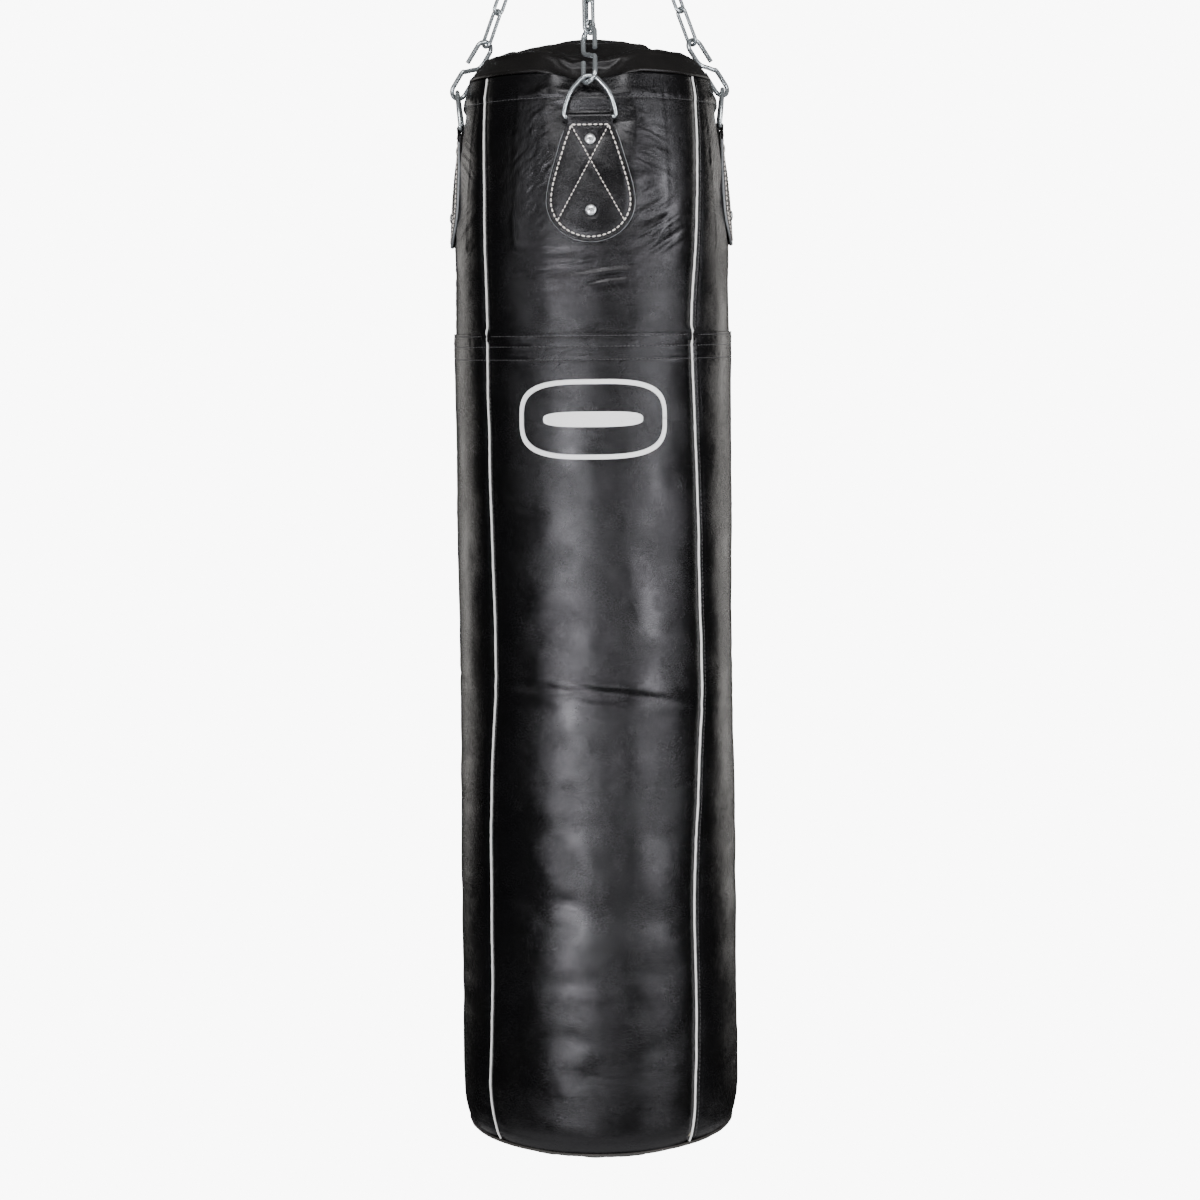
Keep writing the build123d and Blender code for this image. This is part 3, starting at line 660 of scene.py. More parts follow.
def upper_skin(turn, z):
    """Radius of the upper leather."""
    around = arc_of(turn)
    drop = RIM_Z - z
    radius = soft_interp(z, UPPER_PROFILE, span=8)
    relief = seam_relief(turn, z)
    pressed = np.zeros_like(turn)
    wrinkles = np.zeros_like(turn)
    for k, (side, centre) in enumerate(SIDES.items()):
        main = side in FRONT_BACK
        arc = arc_from(turn, centre)
        off = np.abs(arc)
        # pressed in behind the lug, over one width at the rim and another below
        strip = 1 - smooth(off, *((22.0, 52.0) if main else (26.0, 44.0)))
        rim = 1 - smooth(off, *((15.0, 46.0) if main else (12.0, 27.0)))
        below = smooth(drop, 24, 34)
        mask = rim * (1 - below) + strip * below
        pressed = np.maximum(pressed, mask)
        behind = soft_interp(z, UPPER_BEHIND_LUG, span=3) - 0.35
        radius = radius + (np.minimum(behind, radius) - radius) * mask
        # bulge over the fold, and the crease just below it
        relief += 1.7 * bell(drop - 27, 6.0) * (1 - smooth(off, 20, 42))
        relief += -1.6 * bell(drop - 38.5, 2.2) * (1 - smooth(off, 18, 30))
        # imprint of the backing patch
        half = 86.0 if main else 72.0
        edge = np.maximum(off - half, np.maximum(20.0 - drop, drop - 178.0))
        edge = edge + 1.5 * noise(arc, z, 30, 30, 90 + k)
        relief += 0.5 * (1 - smooth(edge, -9.0, 6.0)) + 0.18 * bell(edge + 1.0, 2.8)
        # leather pulled by the lug
        seed = 100 + 10 * k
        pulled = 0.46 * spot(off - 46, 18, drop - 48, 14)
        pulled = pulled * ridges(off, -drop, -26, 5.4, 34, seed + 4)
        for middle, down, wide, high, depth, *crease, offset in LUG_CREASES:
            fade = depth * spot(arc - middle, wide, drop - down, high)
            pulled = pulled + fade * ridges(arc, -drop, *crease, seed + offset)
        wrinkles = wrinkles + pulled * (1.0 if main else 0.35)
        # puckers under the rim and across the fold
        pucker = spot(np.abs(arc - 4) - 48, 26, drop - 17, 4.5)
        relief += 1.7 * pucker + 1.0 * pucker * noise(arc, drop, 9.5, 9, seed + 5)
        relief += spot(arc, 30, drop - 33, 7) * ridges(arc, -drop, 2, 6.0, 60, seed + 6)
        # a shallow hollow either side of the lug, and a soft fold above the band
        relief += -1.5 * spot(off - 60, 15, drop - 120, 46)
        relief += -0.9 * spot(arc - 34 - 0.35 * (drop - 215), 14, drop - 222, 24)
        relief += -0.7 * spot(arc + 10 + 0.3 * (drop - 215), 16, drop - 225, 26)
    relief += 0.55 * noise(around, z, 62, 70, 7, GIRTH)
    relief += 0.22 * noise(around, z, 26, 22, 8, GIRTH)
    patches = smooth(noise(around, z, 48, 36, 10, GIRTH), -0.1, 0.6)
    relief += 0.16 * ridges(around, z, 4, 5.2, 44, 9) * patches
    # hem stitched round the rim
    relief += -0.55 * bell(drop - HEM_DROP, 1.1) + 0.35 * bell(drop - 20.5, 2.6)
    relief += 0.25 * noise(around, 0, 5.0, 10, 12, GIRTH) * bell(drop - 22.0, 5.0)
    relief *= 1 - 0.75 * pressed * (1 - smooth(drop, 170, 190)) * smooth(drop, 30, 44)
    relief += 2.3 * wrinkles * (1 - 0.6 * pressed * (1 - smooth(drop, 176, 190)))
    # flat under the band
    relief *= 1 - smooth(drop, 258, 268)
    return radius + np.minimum(relief, 2.2)


def lower_skin(turn, z):
    """Radius of the lower leather."""
    around = arc_of(turn)
    radius = soft_interp(z, LOWER_PROFILE, span=14)
    radius = np.where(z < SEAM_Z + 12, interp(z, LOWER_PROFILE), radius)
    seams = seam_relief(turn, z)
    relief = seams.copy()
    for side, strength in DENT_SIDES:
        for k, (middle, height, half_turn, half_height, depth, lean) in enumerate(DENTS):
            if side:
                middle = -middle if side in (90, 270) else middle
                height = height + 17 * math.sin(side + k * 2.1)
            arc = arc_from(turn, middle + side)
            wobble = 3.0 * noise(arc, z, 30, 30, 60 + k)
            rise = (z - height - lean * arc + wobble) / half_height
            lips = bell(rise - 1.9, 1) + bell(rise + 1.9, 1)
            dent = bell(arc, arc_of(half_turn)) * (0.12 * lips - 0.3 * bell(rise, 1))
            relief += depth * strength * dent
    # one long narrow crease across the front
    arc = arc_from(turn, 0)
    line = -1109.5 - 0.216 * arc + 2.0 * noise(arc, 0, 34, 10, 81)
    reach = np.exp(-(((arc - 28) / 84.0) ** 4))
    relief += reach * (0.3 * bell(z - line - 6.0, 4.0) - 0.42 * bell(z - line, 3.2))
    relief += -0.22 * reach * bell(z - line + 11.0 + 0.05 * arc, 1.9)
    relief += 0.75 * noise(around, z, 60, 96, 17, GIRTH)
    relief += 0.26 * noise(around, z, 30, 34, 18, GIRTH)
    patches = smooth(noise(around, z, 44, 30, 20, GIRTH), 0.0, 0.55)
    relief += 0.13 * ridges(around, z, -3, 5.0, 46, 19) * patches
    # only the seams near the band, and little relief at the bottom seam
    drop = BAND_Z - z
    body = smooth(drop, 30, 52) * (1 - 0.7 * smooth(-z, -SEAM_Z - 26, -SEAM_Z - 6))
    relief = seams * (1 - body) + relief * body
    for line in BAND_STITCHES:
        pucker = 0.22 * noise(around, 0, 3.8, 10, int(line * 10), GIRTH)
        relief += -0.6 * bell(drop - line, 0.9) + (0.25 + pucker) * bell(drop - line + 3.2, 2.0)
        relief += (0.15 + pucker) * bell(drop - line - 2.8, 1.9)
    relief += 0.3 * noise(around, 0, 40, 10, 33, GIRTH) * (1 - smooth(drop, 20, 50))
    return radius + np.minimum(relief, 2.4)


def skin_frame(skin, turn, z):
    """Points on a skin and its outward normals."""
    side, rise = 0.25, 0.6  # steps of the slope, degrees and mm

    def point(turn, z):
        return at(turn, skin(turn, z), z)

    across = point(turn + side, z) - point(turn - side, z)
    up = point(turn, z + rise) - point(turn, z - rise)
    return point(turn, z), unit(np.cross(across, up))


# ---------------------------------------------------------------- panels
PANEL_HALF = 44.62  # degrees
PANEL_WIDTH = 234  # mm, sets the number of columns
COARSE = 1.0


def panel(name, skin, k, top, bottom, step, top_turn, bottom_turn, dip, **looks):
    """The leather between seams k and k + 1, its edges turned in.

    top_turn and bottom_turn are extra rows as (radius, z) offsets; dip is how far
    the top drops beside a lug.
    """
    s = crowd_ends(np.linspace(-1, 1, int(round(PANEL_WIDTH / step))), 1.15)
    heights = np.linspace(top, bottom, int(round((top - bottom) / step)))
    turn, z = np.meshgrid(90.0 * k + PANEL_HALF * s, heights)
    share = (s + 1) / 2
    left, right = seam_shift(k, z), seam_shift((k + 1) % 4, z)
    turn = turn + turn_of(left * (1 - share) ** 3 + right * share**3)
    z = z - dip * beside_lug(turn) * smooth(z, top - 40.0, top)
    radius = skin(turn, z)
    rows = [(turn[0], radius[0] + out, z[0] + up) for out, up in top_turn]
    rows += zip(turn, radius, z)
    rows += [(turn[-1], radius[-1] + out, z[-1] + up) for out, up in bottom_turn]
    turn, radius, z = np.array(rows).transpose(1, 0, 2)

    def edged(grid, *offsets):
        sides = [grid[:, :1], grid[:, :1], grid[:, -1:], grid[:, -1:]]
        added = [side + offset for side, offset in zip(sides, offsets)]
        return np.concatenate([*added[:2], grid, *added[2:]], 1)

    turn = edged(turn, -0.1, -0.12, 0.12, 0.1)
    radius = edged(radius, -3.0, -1.0, -1.0, -3.0)
    z = edged(z, 0, 0, 0, 0)
    bag_piece(name, at(turn, radius, z).reshape(-1, 3), grid_faces(*turn.shape, flip=True), **looks)


for k, side in enumerate(SIDES):
    panel(
        f"upper_panel_{side}", upper_skin, k, top=RIM_Z + RIM_LIFT - 3.0, bottom=BAND_Z - 8.0,
        step=1.4 * COARSE, top_turn=[(-4.0, -2.0), (-1.6, 0.1), (-0.5, 0.3)],
        bottom_turn=[(-0.5, -0.4)], dip=RIM_LIFT + 1.0,
        material=UPPER_LEATHER, slot="black_leather_upper", node="upper_leather_panels",
    )
    panel(
        f"lower_panel_{side}", lower_skin, k, top=BAND_Z - 0.3, bottom=SEAM_Z + 1.0,
        step=2.0 * COARSE,
        top_turn=[(-2.3, 0.0), (-1.9, 0.45), (-1.2, 0.8), (-0.5, 0.7), (-0.12, 0.35)],
        bottom_turn=[(-1.0, -1.2), (-3.0, -1.0)], dip=0.0,
        material=LOWER_LEATHER, slot="black_leather_lower", node="lower_leather_panels",
    )


# ---------------------------------------------------------------- piping and black stitching
def piping(k, node=None):
    """The cord down seam k, stepped more finely over the band."""
    z = np.concatenate([
        np.arange(RIM_Z + RIM_LIFT - 3.0, BAND_Z + 3, -3.0),
        np.arange(BAND_Z + 2.5, BAND_Z - 3, -0.8),
        np.arange(BAND_Z - 4, SEAM_Z - 1, -3.0),
    ])
    turn = SEAMS[k] + turn_of(seam_shift(k, z))
    lower = smooth(BAND_Z - z, -2.0, 1.5)
    radius = upper_skin(turn + 0.6, z) * (1 - lower) + lower_skin(turn + 0.6, z) * lower
    path = at(turn, radius + 0.35 + 0.12 * noise(0, z, 10, 7.0, 300 + k), z)
    out = at(turn, 1.0, 0.0)
    side = np.cross(unit(np.gradient(path, axis=0)), out)
    thick = 1.18 + 0.1 * noise(0, z, 10, 5.0, 310 + k)
    verts = tube(path, side, out, thick, thick, 10)
    bag_piece(f"piping_{k + 1}", verts, tube_faces(len(z), 10), PIPING, "piping", node)


for k in range(len(SEAMS)):
    piping(k, "white_piping" if k == 0 else None)

black = Batch()
all_round = np.arange(0, 360.01, 0.5)
for line in BAND_STITCHES:
    path, out = skin_frame(lower_skin, all_round, np.full_like(all_round, BAND_Z - line))
    stitches(
        black, path, out, length=3.5, gap=0.9, radius=0.42, lift=0.32, arch=0.3, seed=int(line)
    )
path, out = skin_frame(upper_skin, all_round, np.full_like(all_round, RIM_Z - HEM_DROP))
stitches(black, path, out, length=3.3, gap=0.9, radius=0.4, lift=0.3, arch=0.3, seed=5)
for k, seam in enumerate(SEAMS):
    for skin, top, bottom in (
        (upper_skin, RIM_Z - 6, BAND_Z + 1), (lower_skin, BAND_Z - 1, SEAM_Z + 4)
    ):
        z = np.arange(top, bottom, -2.0)
        turn = seam + turn_of(seam_shift(k, z) + SEAM_STITCH_ARC)
        path, out = skin_frame(skin, turn, z)
        stitches(
            black, path, out, length=3.4, gap=0.9, radius=0.4, lift=0.28, arch=0.28, seed=20 + k
        )
black.piece("black_stitching", BLACK_THREAD, "black_leather_lower")

# ---------------------------------------------------------------- top cover
# (radius, height above the rim)
DOME_AT_LUG = [
    (0.0, 41.0), (40.0, 39.7), (80.0, 33.5), (100.0, 24.5), (112.0, 14.5), (119.0, 5.5),
    (123.0, -1.5), (124.5, -3.9),
]
DOME = [
    (0.0, 46.5), (40.0, 45.6), (70.0, 43.2), (92.0, 39.2), (104.0, 34.8), (112.0, 29.4),
    (119.7, 21.0), (126.0, 12.8), (130.6, 7.2), (132.4, 4.2),
]
# lines pulled from the middle to the rim: (turn, depth, width)
FACETS = [(-52, 2.2, 9.0), (-118, 1.8, 9.0), (118, 1.6, 8.0), (70, 1.2, 8.0)]
COVER_RADII = np.concatenate([
    np.linspace(2.0, 120, 56), [123, 125.5, 127.5, 129, 130.2, 131.1, 131.7]
])
# the roll under the cover's edge, as (radius, z) offsets from it
COVER_ROLL = [(0.4, -1.0), (0.5, -2.0), (0.1, -3.0), (-0.9, -3.5), (-2.4, -3.1), (-6.0, -3.0)]


def dome_height(x, y):
    """Height of the cover above the rim before it is blown up."""
    radius = np.hypot(x, y)
    turn = np.degrees(np.arctan2(x, -y))
    height = soft_interp(radius, DOME, span=7)
    at_lug = soft_interp(radius, DOME_AT_LUG, span=4) - 0.4
    for side, centre in SIDES.items():
        angle = np.radians(turn - centre)
        reach = (15, 58) if side in FRONT_BACK else (13, 32)
        mask = 1 - smooth(np.abs(radius * np.sin(angle)), *reach)
        mask = mask * smooth(radius, 78, 102) * (np.cos(angle) > 0)
        height = height + (np.minimum(at_lug, height) - height) * mask
    broad = 1.1 * noise(x, y, 42, 46, 401) * (1 - smooth(radius, 90, 112))
    height = height + broad + 0.25 * noise(x, y, 16, 18, 402) * (1 - smooth(radius, 104, 122))
    for facet_turn, depth, width in FACETS:
        out_x, out_y = math.sin(math.radians(facet_turn)), -math.cos(math.radians(facet_turn))
        along, across = x * out_x + y * out_y, -x * out_y + y * out_x
        reach = smooth(along, 30, 75) * (1 - smooth(along, 108, 124))
        height = height - depth * bell(across, width) * reach
    # a step down towards +X and a groove towards -X
    step = 6.0 * smooth(x - (50.0 - 0.2 * y), -7, 9) * (1 - smooth(x, 84, 106))
    height = height - step * (1 - smooth(radius, 98, 116))
    groove = 1.6 * bell(x + 66.0 - 0.3 * y, 6.0) * (1 - smooth(radius, 92, 112))
    return height - groove * smooth(-y, -40, 0)


def top_cover():
    """The under cover, rolled over the rim; returns its settled heights above the rim."""
    count = 240
    radius, turn, x, y = polar_grid(COVER_RADII, count)
    squeeze = 1 - beside_lug(turn) * 0.056 * smooth(radius, 100, 128)
    lip = 0.5 * noise(turn * math.pi / 180 * 131, 0, 46, 10, 411, 2 * math.pi * 131)
    z = RIM_Z + dome_height(x, y) + lip * smooth(radius, 118, 130)
    sheet = np.stack([x * squeeze, y * squeeze, z], -1)
    edge = sheet[-1]
    edge_radius = np.hypot(edge[:, 0], edge[:, 1])
    rows = [sheet]
    for out, up in COVER_ROLL:
        grow = ((edge_radius + out) / edge_radius)[:, None]
        rows.append(np.concatenate([edge[:, :2] * grow, edge[:, 2:] + up], 1)[None])
    rings = np.concatenate(rows, 0)
    verts = rings.reshape(-1, 3)
    faces = [*grid_faces(len(rings), count, around=True), *fan(len(verts), 0, count, flip=True)]
    middle = RIM_Z + dome_height(np.zeros(1), np.zeros(1))[0]
    verts = np.concatenate([verts, [[0, 0, middle]]])
    held = (np.hypot(verts[:, 0], verts[:, 1]) > 117) | (verts[:, 2] < RIM_Z + 3)
    cloth = dict(held=np.flatnonzero(held), pressure=2.2, slack=0.018, cap=5.0)
    cover = bag_piece(
        "top_cover_leather", verts, faces, TOP_LEATHER_PAINTED_SHEEN, "top_leather", "top_cover", cloth
    )
    settled = vertex_places(cover.data)[: x.size, 2]
    return settled.reshape(x.shape) / MM - RIM_Z


def cover_height(heights, x, y):
    """Height of the settled cover above the rim at x, y."""
    rows, columns = heights.shape
    row = np.interp(np.hypot(x, y), COVER_RADII, np.arange(rows))
    row = np.clip(row, 0, rows - 1.001)
    column = (np.degrees(np.arctan2(x, -y)) % 360.0) / 360.0 * columns
    i, j = row.astype(int), column.astype(int) % columns
    part = column - np.floor(column)
    inner, outer = (
        heights[k, j] * (1 - part) + heights[k, (j + 1) % columns] * part for k in (i, i + 1)
    )
    return inner * (1 - (row - i)) + outer * (row - i)


FLAP_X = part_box("top_cover_flap")[1].x / MM
FLAP_R = 113.0
# the flap's edge turned down, as (x, z) offsets
FLAP_TURN = [(0.8, -0.5), (1.1, -1.2), (0.9, -2.0), (0.0, -2.8), (-4.0, -3.0)]


def top_flap(heights):
    """A second sheet laid over the cover from -X, its edge standing proud."""
    rows, columns = ((110, 170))
    share, across = np.meshgrid(
        np.linspace(0, 1, rows), np.linspace(-1, 1, columns), indexing="ij"
    )
    edge_x = FLAP_X - 4.0 + 13.0 * smooth(-across, 0.1, 1.0) - 4.0 * smooth(across, 0.3, 1.0)
    y = across * np.sqrt(np.clip(FLAP_R**2 - (edge_x * 0.82) ** 2, 0, None))
    left = -np.sqrt(np.clip(FLAP_R**2 - y**2, 4, None))
    x = left + (edge_x - left) * share
    raised = (1 - smooth(np.hypot(x, y), 78, 111)) * smooth(share, 0.05, 0.5)
    height = cover_height(heights, x, y) - 1.0 + 2.2 * raised
    height += 0.3 * bell((1 - share) * 150 - 16, 6.0) * noise(y, 0, 30, 10, 431)
    sheet = np.stack([x, y, RIM_Z + height], -1)
    edges = [(sheet[-1] + np.array([out, 0, up]))[None] for out, up in FLAP_TURN]
    sheet = np.concatenate([sheet, *edges], 0)
    bag_piece(
        "top_cover_flap_leather", sheet.reshape(-1, 3), grid_faces(len(sheet), columns),
        TOP_LEATHER_PAINTED_SHEEN, "top_leather", "top_cover_flap",
    )


top_flap(top_cover())


# ---------------------------------------------------------------- bottom
# (radius, z)
BOTTOM_PROFILE = [
    (0.0, BOTTOM_Z + 0.6), (70.0, BOTTOM_Z + 2.0), (108.0, BOTTOM_Z + 4.2),
    (126.0, BOTTOM_Z + 7.6), (134.6, BOTTOM_Z + 10.8), (139.0, SEAM_Z - 1.0),
]
ARC_SCALE, ARC_PERIOD = 2.5, 900.0  # noise round the bottom: units a degree, units a turn
WELT_R = 1.5


def bottom():
    rows, count = ((50, 220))
    radii = np.concatenate([np.linspace(2.0, 131.8, rows), np.linspace(132.8, 139.0, 7)])
    radius, turn, x, y = polar_grid(radii, count)
    dents = 0.8 * noise(x, y, 36, 40, 501) + 0.35 * noise(x, y, 13, 15, 502)
    gathers = 0.35 * noise(turn * ARC_SCALE, 0, 6.5, 10, 503, ARC_PERIOD)
    z = soft_interp(radius, BOTTOM_PROFILE, span=6) + dents * (1 - smooth(radius, 114, 136))
    z = z + gathers * smooth(radius, 120, 134)
    verts = np.stack([x, y, z], -1).reshape(-1, 3)
    faces = [*grid_faces(len(radii), count, around=True, flip=True), *fan(len(verts), 0, count)]
    verts = np.concatenate([verts, [[0, 0, BOTTOM_PROFILE[0][1]]]])
    held = np.flatnonzero(np.hypot(verts[:, 0], verts[:, 1]) > 124)
    cloth = dict(held=held, pressure=1.2, slack=0.012, cap=3.0)
    bag_piece(
        "bottom_leather", verts, faces, BOTTOM_LEATHER, "bottom_leather", "bottom_panel", cloth
    )


def bottom_welt():
    """Cord sewn into the bottom seam, coloured pale as a painted highlight line."""
    turn = np.linspace(0, 360, 360, endpoint=False)[:, None]
    ring = full_circle(10)
    radius = 140.6 + 0.35 * noise(turn * ARC_SCALE, 0, 14, 10, 511, ARC_PERIOD)
    z = SEAM_Z - 0.8 + 0.5 * noise(turn * ARC_SCALE, 0, 40, 10, 512, ARC_PERIOD)
    verts = at(turn, radius + WELT_R * np.cos(ring), z + WELT_R * np.sin(ring))
    faces = grid_faces(360, 10, around=True, looped=True, flip=True)
    bag_piece("bottom_welt", verts.reshape(-1, 3), faces, WELT_LEATHER_PAINTED_HIGHLIGHT, "bottom_leather")


bottom()
bottom_welt()

# ---------------------------------------------------------------- lugs
PLY = 2.1  # thickness of the strap, which runs up, round the D-ring's bar and down again
LUG_THICK = 4.3
FOLD_R = 2.35 + PLY / 2  # from the bar's axis to the middle of the strap
LUG_WIDE_Z = -609.5  # where the lug is widest, its rounded tip below
LUG_HALF = 46.7
LUG_TIP = 43.0
LUG_R = 152.0  # radius it wraps round
# (z, radius of the outer face)
LUG_FACE = [
    (-535.0, 143.3), (-543.0, 143.4), (-560.0, 145.6), (-576.0, 147.8), (-609.0, 150.8),
    (-641.0, 152.6), (-656.0, 152.8),
]
# (z, half width)
LUG_OUTLINE = [
    (-520, 23.6), (-530, 23.9), (-536, 25.6), (-551, 32.0), (-572.6, 39.3), (-593, 44.8),
    (-606, 46.6), (-611, 46.7), (-616, 46.2), (-624.6, 43.4), (-634.8, 36.0), (-643, 25.6),
    (-648.5, 15.5), (-651.4, 7.5), (-652.3, 0.0),
]
RIVET_Z = (-547.2, -620.2)
TOP_ROW_Z = -532.4


def half_width(z):
    upper = soft_interp(z, LUG_OUTLINE, span=7)
    tip = LUG_HALF * np.sqrt(np.clip(1 - ((LUG_WIDE_Z - z) / LUG_TIP) ** 2, 0, 1))
    return np.where(z < LUG_WIDE_Z, tip, np.minimum(upper, LUG_HALF))


def lug_face(z):
    return soft_interp(z, LUG_FACE, span=7)


def lug_wrap(z):
    """How far the strap follows the bag's curve: 0 at the fold, 1 further down."""
    return smooth(-z, 528.0, 574.0)


def side_axes(centre):
    """Outward and sideways unit vectors at a turn."""
    angle = math.radians(centre)
    cos, sin = math.cos(angle), math.sin(angle)
    return np.array([sin, -cos, 0]), np.array([cos, sin, 0])


def lug_point(centre, across, radius, z):
    out, side = side_axes(centre)
    across, radius, z = (np.asarray(part, float) for part in (across, radius, z))
    wrap = lug_wrap(z)
    angle = across / LUG_R
    across = across + (radius * np.sin(angle) - across) * wrap
    radius = radius - radius * (1 - np.cos(angle)) * wrap
    up = np.array([0, 0, 1.0])
    return radius[..., None] * out + across[..., None] * side + z[..., None] * up


def lug_normal(centre, across, z):
    angle = math.radians(centre) + across / LUG_R * lug_wrap(z)
    return unit(np.stack([np.sin(angle), -np.cos(angle), np.full(np.shape(angle), 0.07)], -1))


def inset_outline(inset, top):
    """The outline pulled in, from top down round the tip and up again, as (across, z)."""
    tip = LUG_WIDE_Z - LUG_TIP * np.sin(np.linspace(0, np.pi / 2, 90))[1:]
    z = np.concatenate([np.linspace(-524, LUG_WIDE_Z, 120), tip])
    points = np.stack([half_width(z), z], 1)
    along = unit(np.gradient(points, axis=0))
    points = points + np.stack([along[:, 1], -along[:, 0]], 1) * inset
    points = points[(points[:, 1] <= top) & (points[:, 0] >= 0)]
    if points[-1, 0] > 0.4:
        points = np.concatenate([points, [[0, points[-1, 1]]]])
    return np.concatenate([points, (points * [-1, 1])[::-1][1:]])


def stitch_lines():
    """(points, pitch, thread radius): the outline, the top row and the two diagonals."""
    outline = inset_outline(5.0, TOP_ROW_Z)
    corner = outline[0, 0]
    row = np.stack([np.linspace(-corner, corner, 30), np.full(30, TOP_ROW_Z)], 1)
    lines = [(outline, 5.5, 0.78), (row, 5.5, 0.78)]
    for sign in (-1, 1):
        gap = np.hypot(outline[:, 0] - sign * 33.0, outline[:, 1] + 630.0)
        start = np.array([-sign * corner, TOP_ROW_Z])
        lines.append((np.linspace(start, outline[np.argmin(gap)], 60), 4.6, 0.6))
    return lines


STITCH_LINES = stitch_lines()
STITCH_GAP = 1.45


def line_distance(across, z):
    """Distance to the nearest stitch line."""
    best = np.full(np.shape(across), 1e9)
    for points, _, _ in STITCH_LINES:
        stops = points[:: 2 if len(points) > 100 else 1]
        for start, end in zip(stops[:-1], stops[1:]):
            run = end - start
            along = (across - start[0]) * run[0] + (z - start[1]) * run[1]
            along = np.clip(along / (run @ run + 1e-9), 0, 1)
            gap = np.hypot(across - start[0] - along * run[0], z - start[1] - along * run[1])
            best = np.minimum(best, gap)
    return best


def lug_relief(across, z, seed):
    """Hollows along the stitches and round the rivets, and a little unevenness."""
    relief = 0.55 * (1 - bell(line_distance(across, z), 3.2)) - 0.45
    for rivet_z in RIVET_Z:
        gap = np.hypot(across, z - rivet_z)
        relief += -0.35 * bell(gap - 7.4, 1.6) - 0.25 * (1 - smooth(gap, 5, 7))
    relief += 0.12 * noise(across, z, 9, 12, seed) + 0.05 * ridges(across, z, 12, 4, 18, seed + 1)
    return relief


def strap_path(bar_r, bar_z):
    """Radius and z of the strap's middle: up the front ply, round the bar, down the back.

    Also says which points are on the front ply.
    """
    tip_count, rise_count = ((50, 70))
    tip = LUG_WIDE_Z - 42.6 * np.cos(np.linspace(0.02, np.pi / 2, tip_count))
    flat_z = np.concatenate([tip, np.linspace(LUG_WIDE_Z, bar_z - 10.5, rise_count)[1:]])
    front = lug_face(flat_z) - PLY / 2
    back = lug_face(flat_z) - LUG_THICK + PLY / 2
    angle = np.linspace(-0.05, np.pi + 0.05, 22)
    fold_r, fold_z = bar_r + FOLD_R * np.cos(angle), bar_z + FOLD_R * np.sin(angle)
    share = np.linspace(0, 1, 8)[1:-1]
    ease = smooth(share, 0, 1)
    neck_z = flat_z[-1] + (fold_z[0] - flat_z[-1]) * share
    up_r = front[-1] + (fold_r[0] - front[-1]) * ease
    down_r = fold_r[-1] + (back[-1] - fold_r[-1]) * ease
    radius = np.concatenate([front, up_r, fold_r, down_r, back[::-1]])
    z = np.concatenate([flat_z, neck_z, fold_z, neck_z[::-1], flat_z[::-1]])
    return radius, z, np.arange(len(z)) < len(flat_z) + len(neck_z)


def lug_strap(k, side, centre, bar_r, bar_z):
    radius, z, on_front = strap_path(bar_r, bar_z)
    along = unit(np.gradient(np.stack([radius, z], 1), axis=0))
    half = half_width(z)
    half = np.where(z > bar_z - 7.5, np.minimum(half, 23.2), half)
    half = (half - 0.5 * ~on_front * (z < -560))[:, None]
    # section of the strap: outer face, edge, inner face, edge
    count = 72
    thick = PLY / 2
    edge = np.linspace(-np.pi / 2, np.pi / 2, 7)[1:-1]
    inner = np.maximum(half - thick * 0.8, 0.05)
    face = inner * crowd_ends(np.linspace(-1, 1, count), 1.25)
    round_edge = inner + thick * 0.8 * np.cos(edge)
    across = np.concatenate([face, round_edge, face[:, ::-1], -round_edge], 1)
    offset = np.concatenate([
        np.full(count, thick), -thick * np.sin(edge), np.full(count, -thick),
        thick * np.sin(edge),
    ])
    radius, z = radius[:, None], z[:, None]
    off = np.abs(across)
    outer = on_front[:, None] * (offset > 0)
    relief = lug_relief(across, z, 600 + k) * outer * smooth(bar_z - 3 - z, 0, 6)
    relief *= 1 - 0.9 * smooth(off, np.maximum(half - 2.4, 0.1), np.maximum(half - 0.2, 0.3))
    crown = -0.5 * smooth(off / np.maximum(half, 1), 0.8, 1.0) * outer
    offset = offset + relief + crown
    verts = lug_point(centre, across, radius + along[:, 1:] * offset, z - along[:, :1] * offset)
    bag_piece(
        f"lug_{side}", verts.reshape(-1, 3), tube_faces(*across.shape), LUG_LEATHER,
        "lug_leather", "lug_straps",
    )


def lug_outline_painted_highlight(k, side, centre, bar_z):
    """The edge of the back ply, just showing round the outline, coloured pale as a painted
    highlight.
    """
    across, z = inset_outline(-0.35, bar_z - 14.0).T
    path = lug_point(centre, across, lug_face(z) - PLY + 0.3, z)
    out = lug_normal(centre, across, z)
    sideways = np.cross(unit(np.gradient(path, axis=0)), out)
    length = np.cumsum(np.linalg.norm(np.diff(path, axis=0, prepend=path[:1]), axis=1))
    wide = 0.42 + 0.10 * noise(0, length, 10, 6.0, 640 + k)
    verts = tube(path, sideways, out, wide, 1.2, 8)
    name = f"lug_outline_painted_highlight_{side}"
    bag_piece(name, verts, tube_faces(len(path), 8), LUG_EDGE_HIGHLIGHT_LEATHER, "lug_leather")


def lug_stitching(k, side, centre):
    batch = Batch()
    for line, (points, pitch, radius) in enumerate(STITCH_LINES):
        across, z = points.T
        face = lug_face(z) + lug_relief(across, z, 600 + k)
        stitches(
            batch, lug_point(centre, across, face, z), lug_normal(centre, across, z),
            length=pitch - STITCH_GAP, gap=STITCH_GAP, radius=radius, lift=0.2, arch=0.45,
            flat=0.72, jitter=0.16, seed=700 + 10 * k + line,
        )
    batch.piece(f"lug_stitching_{side}", NATURAL_THREAD, "piping")


for k, (side, centre) in enumerate(SIDES.items()):
    bar_x, bar_y, bar_z = np.array(JOINT[f"d_ring_{side}"]["pos_m"]) / MM
    lug_strap(k, side, centre, math.hypot(bar_x, bar_y), bar_z)
    lug_outline_painted_highlight(k, side, centre, bar_z)
    lug_stitching(k, side, centre)

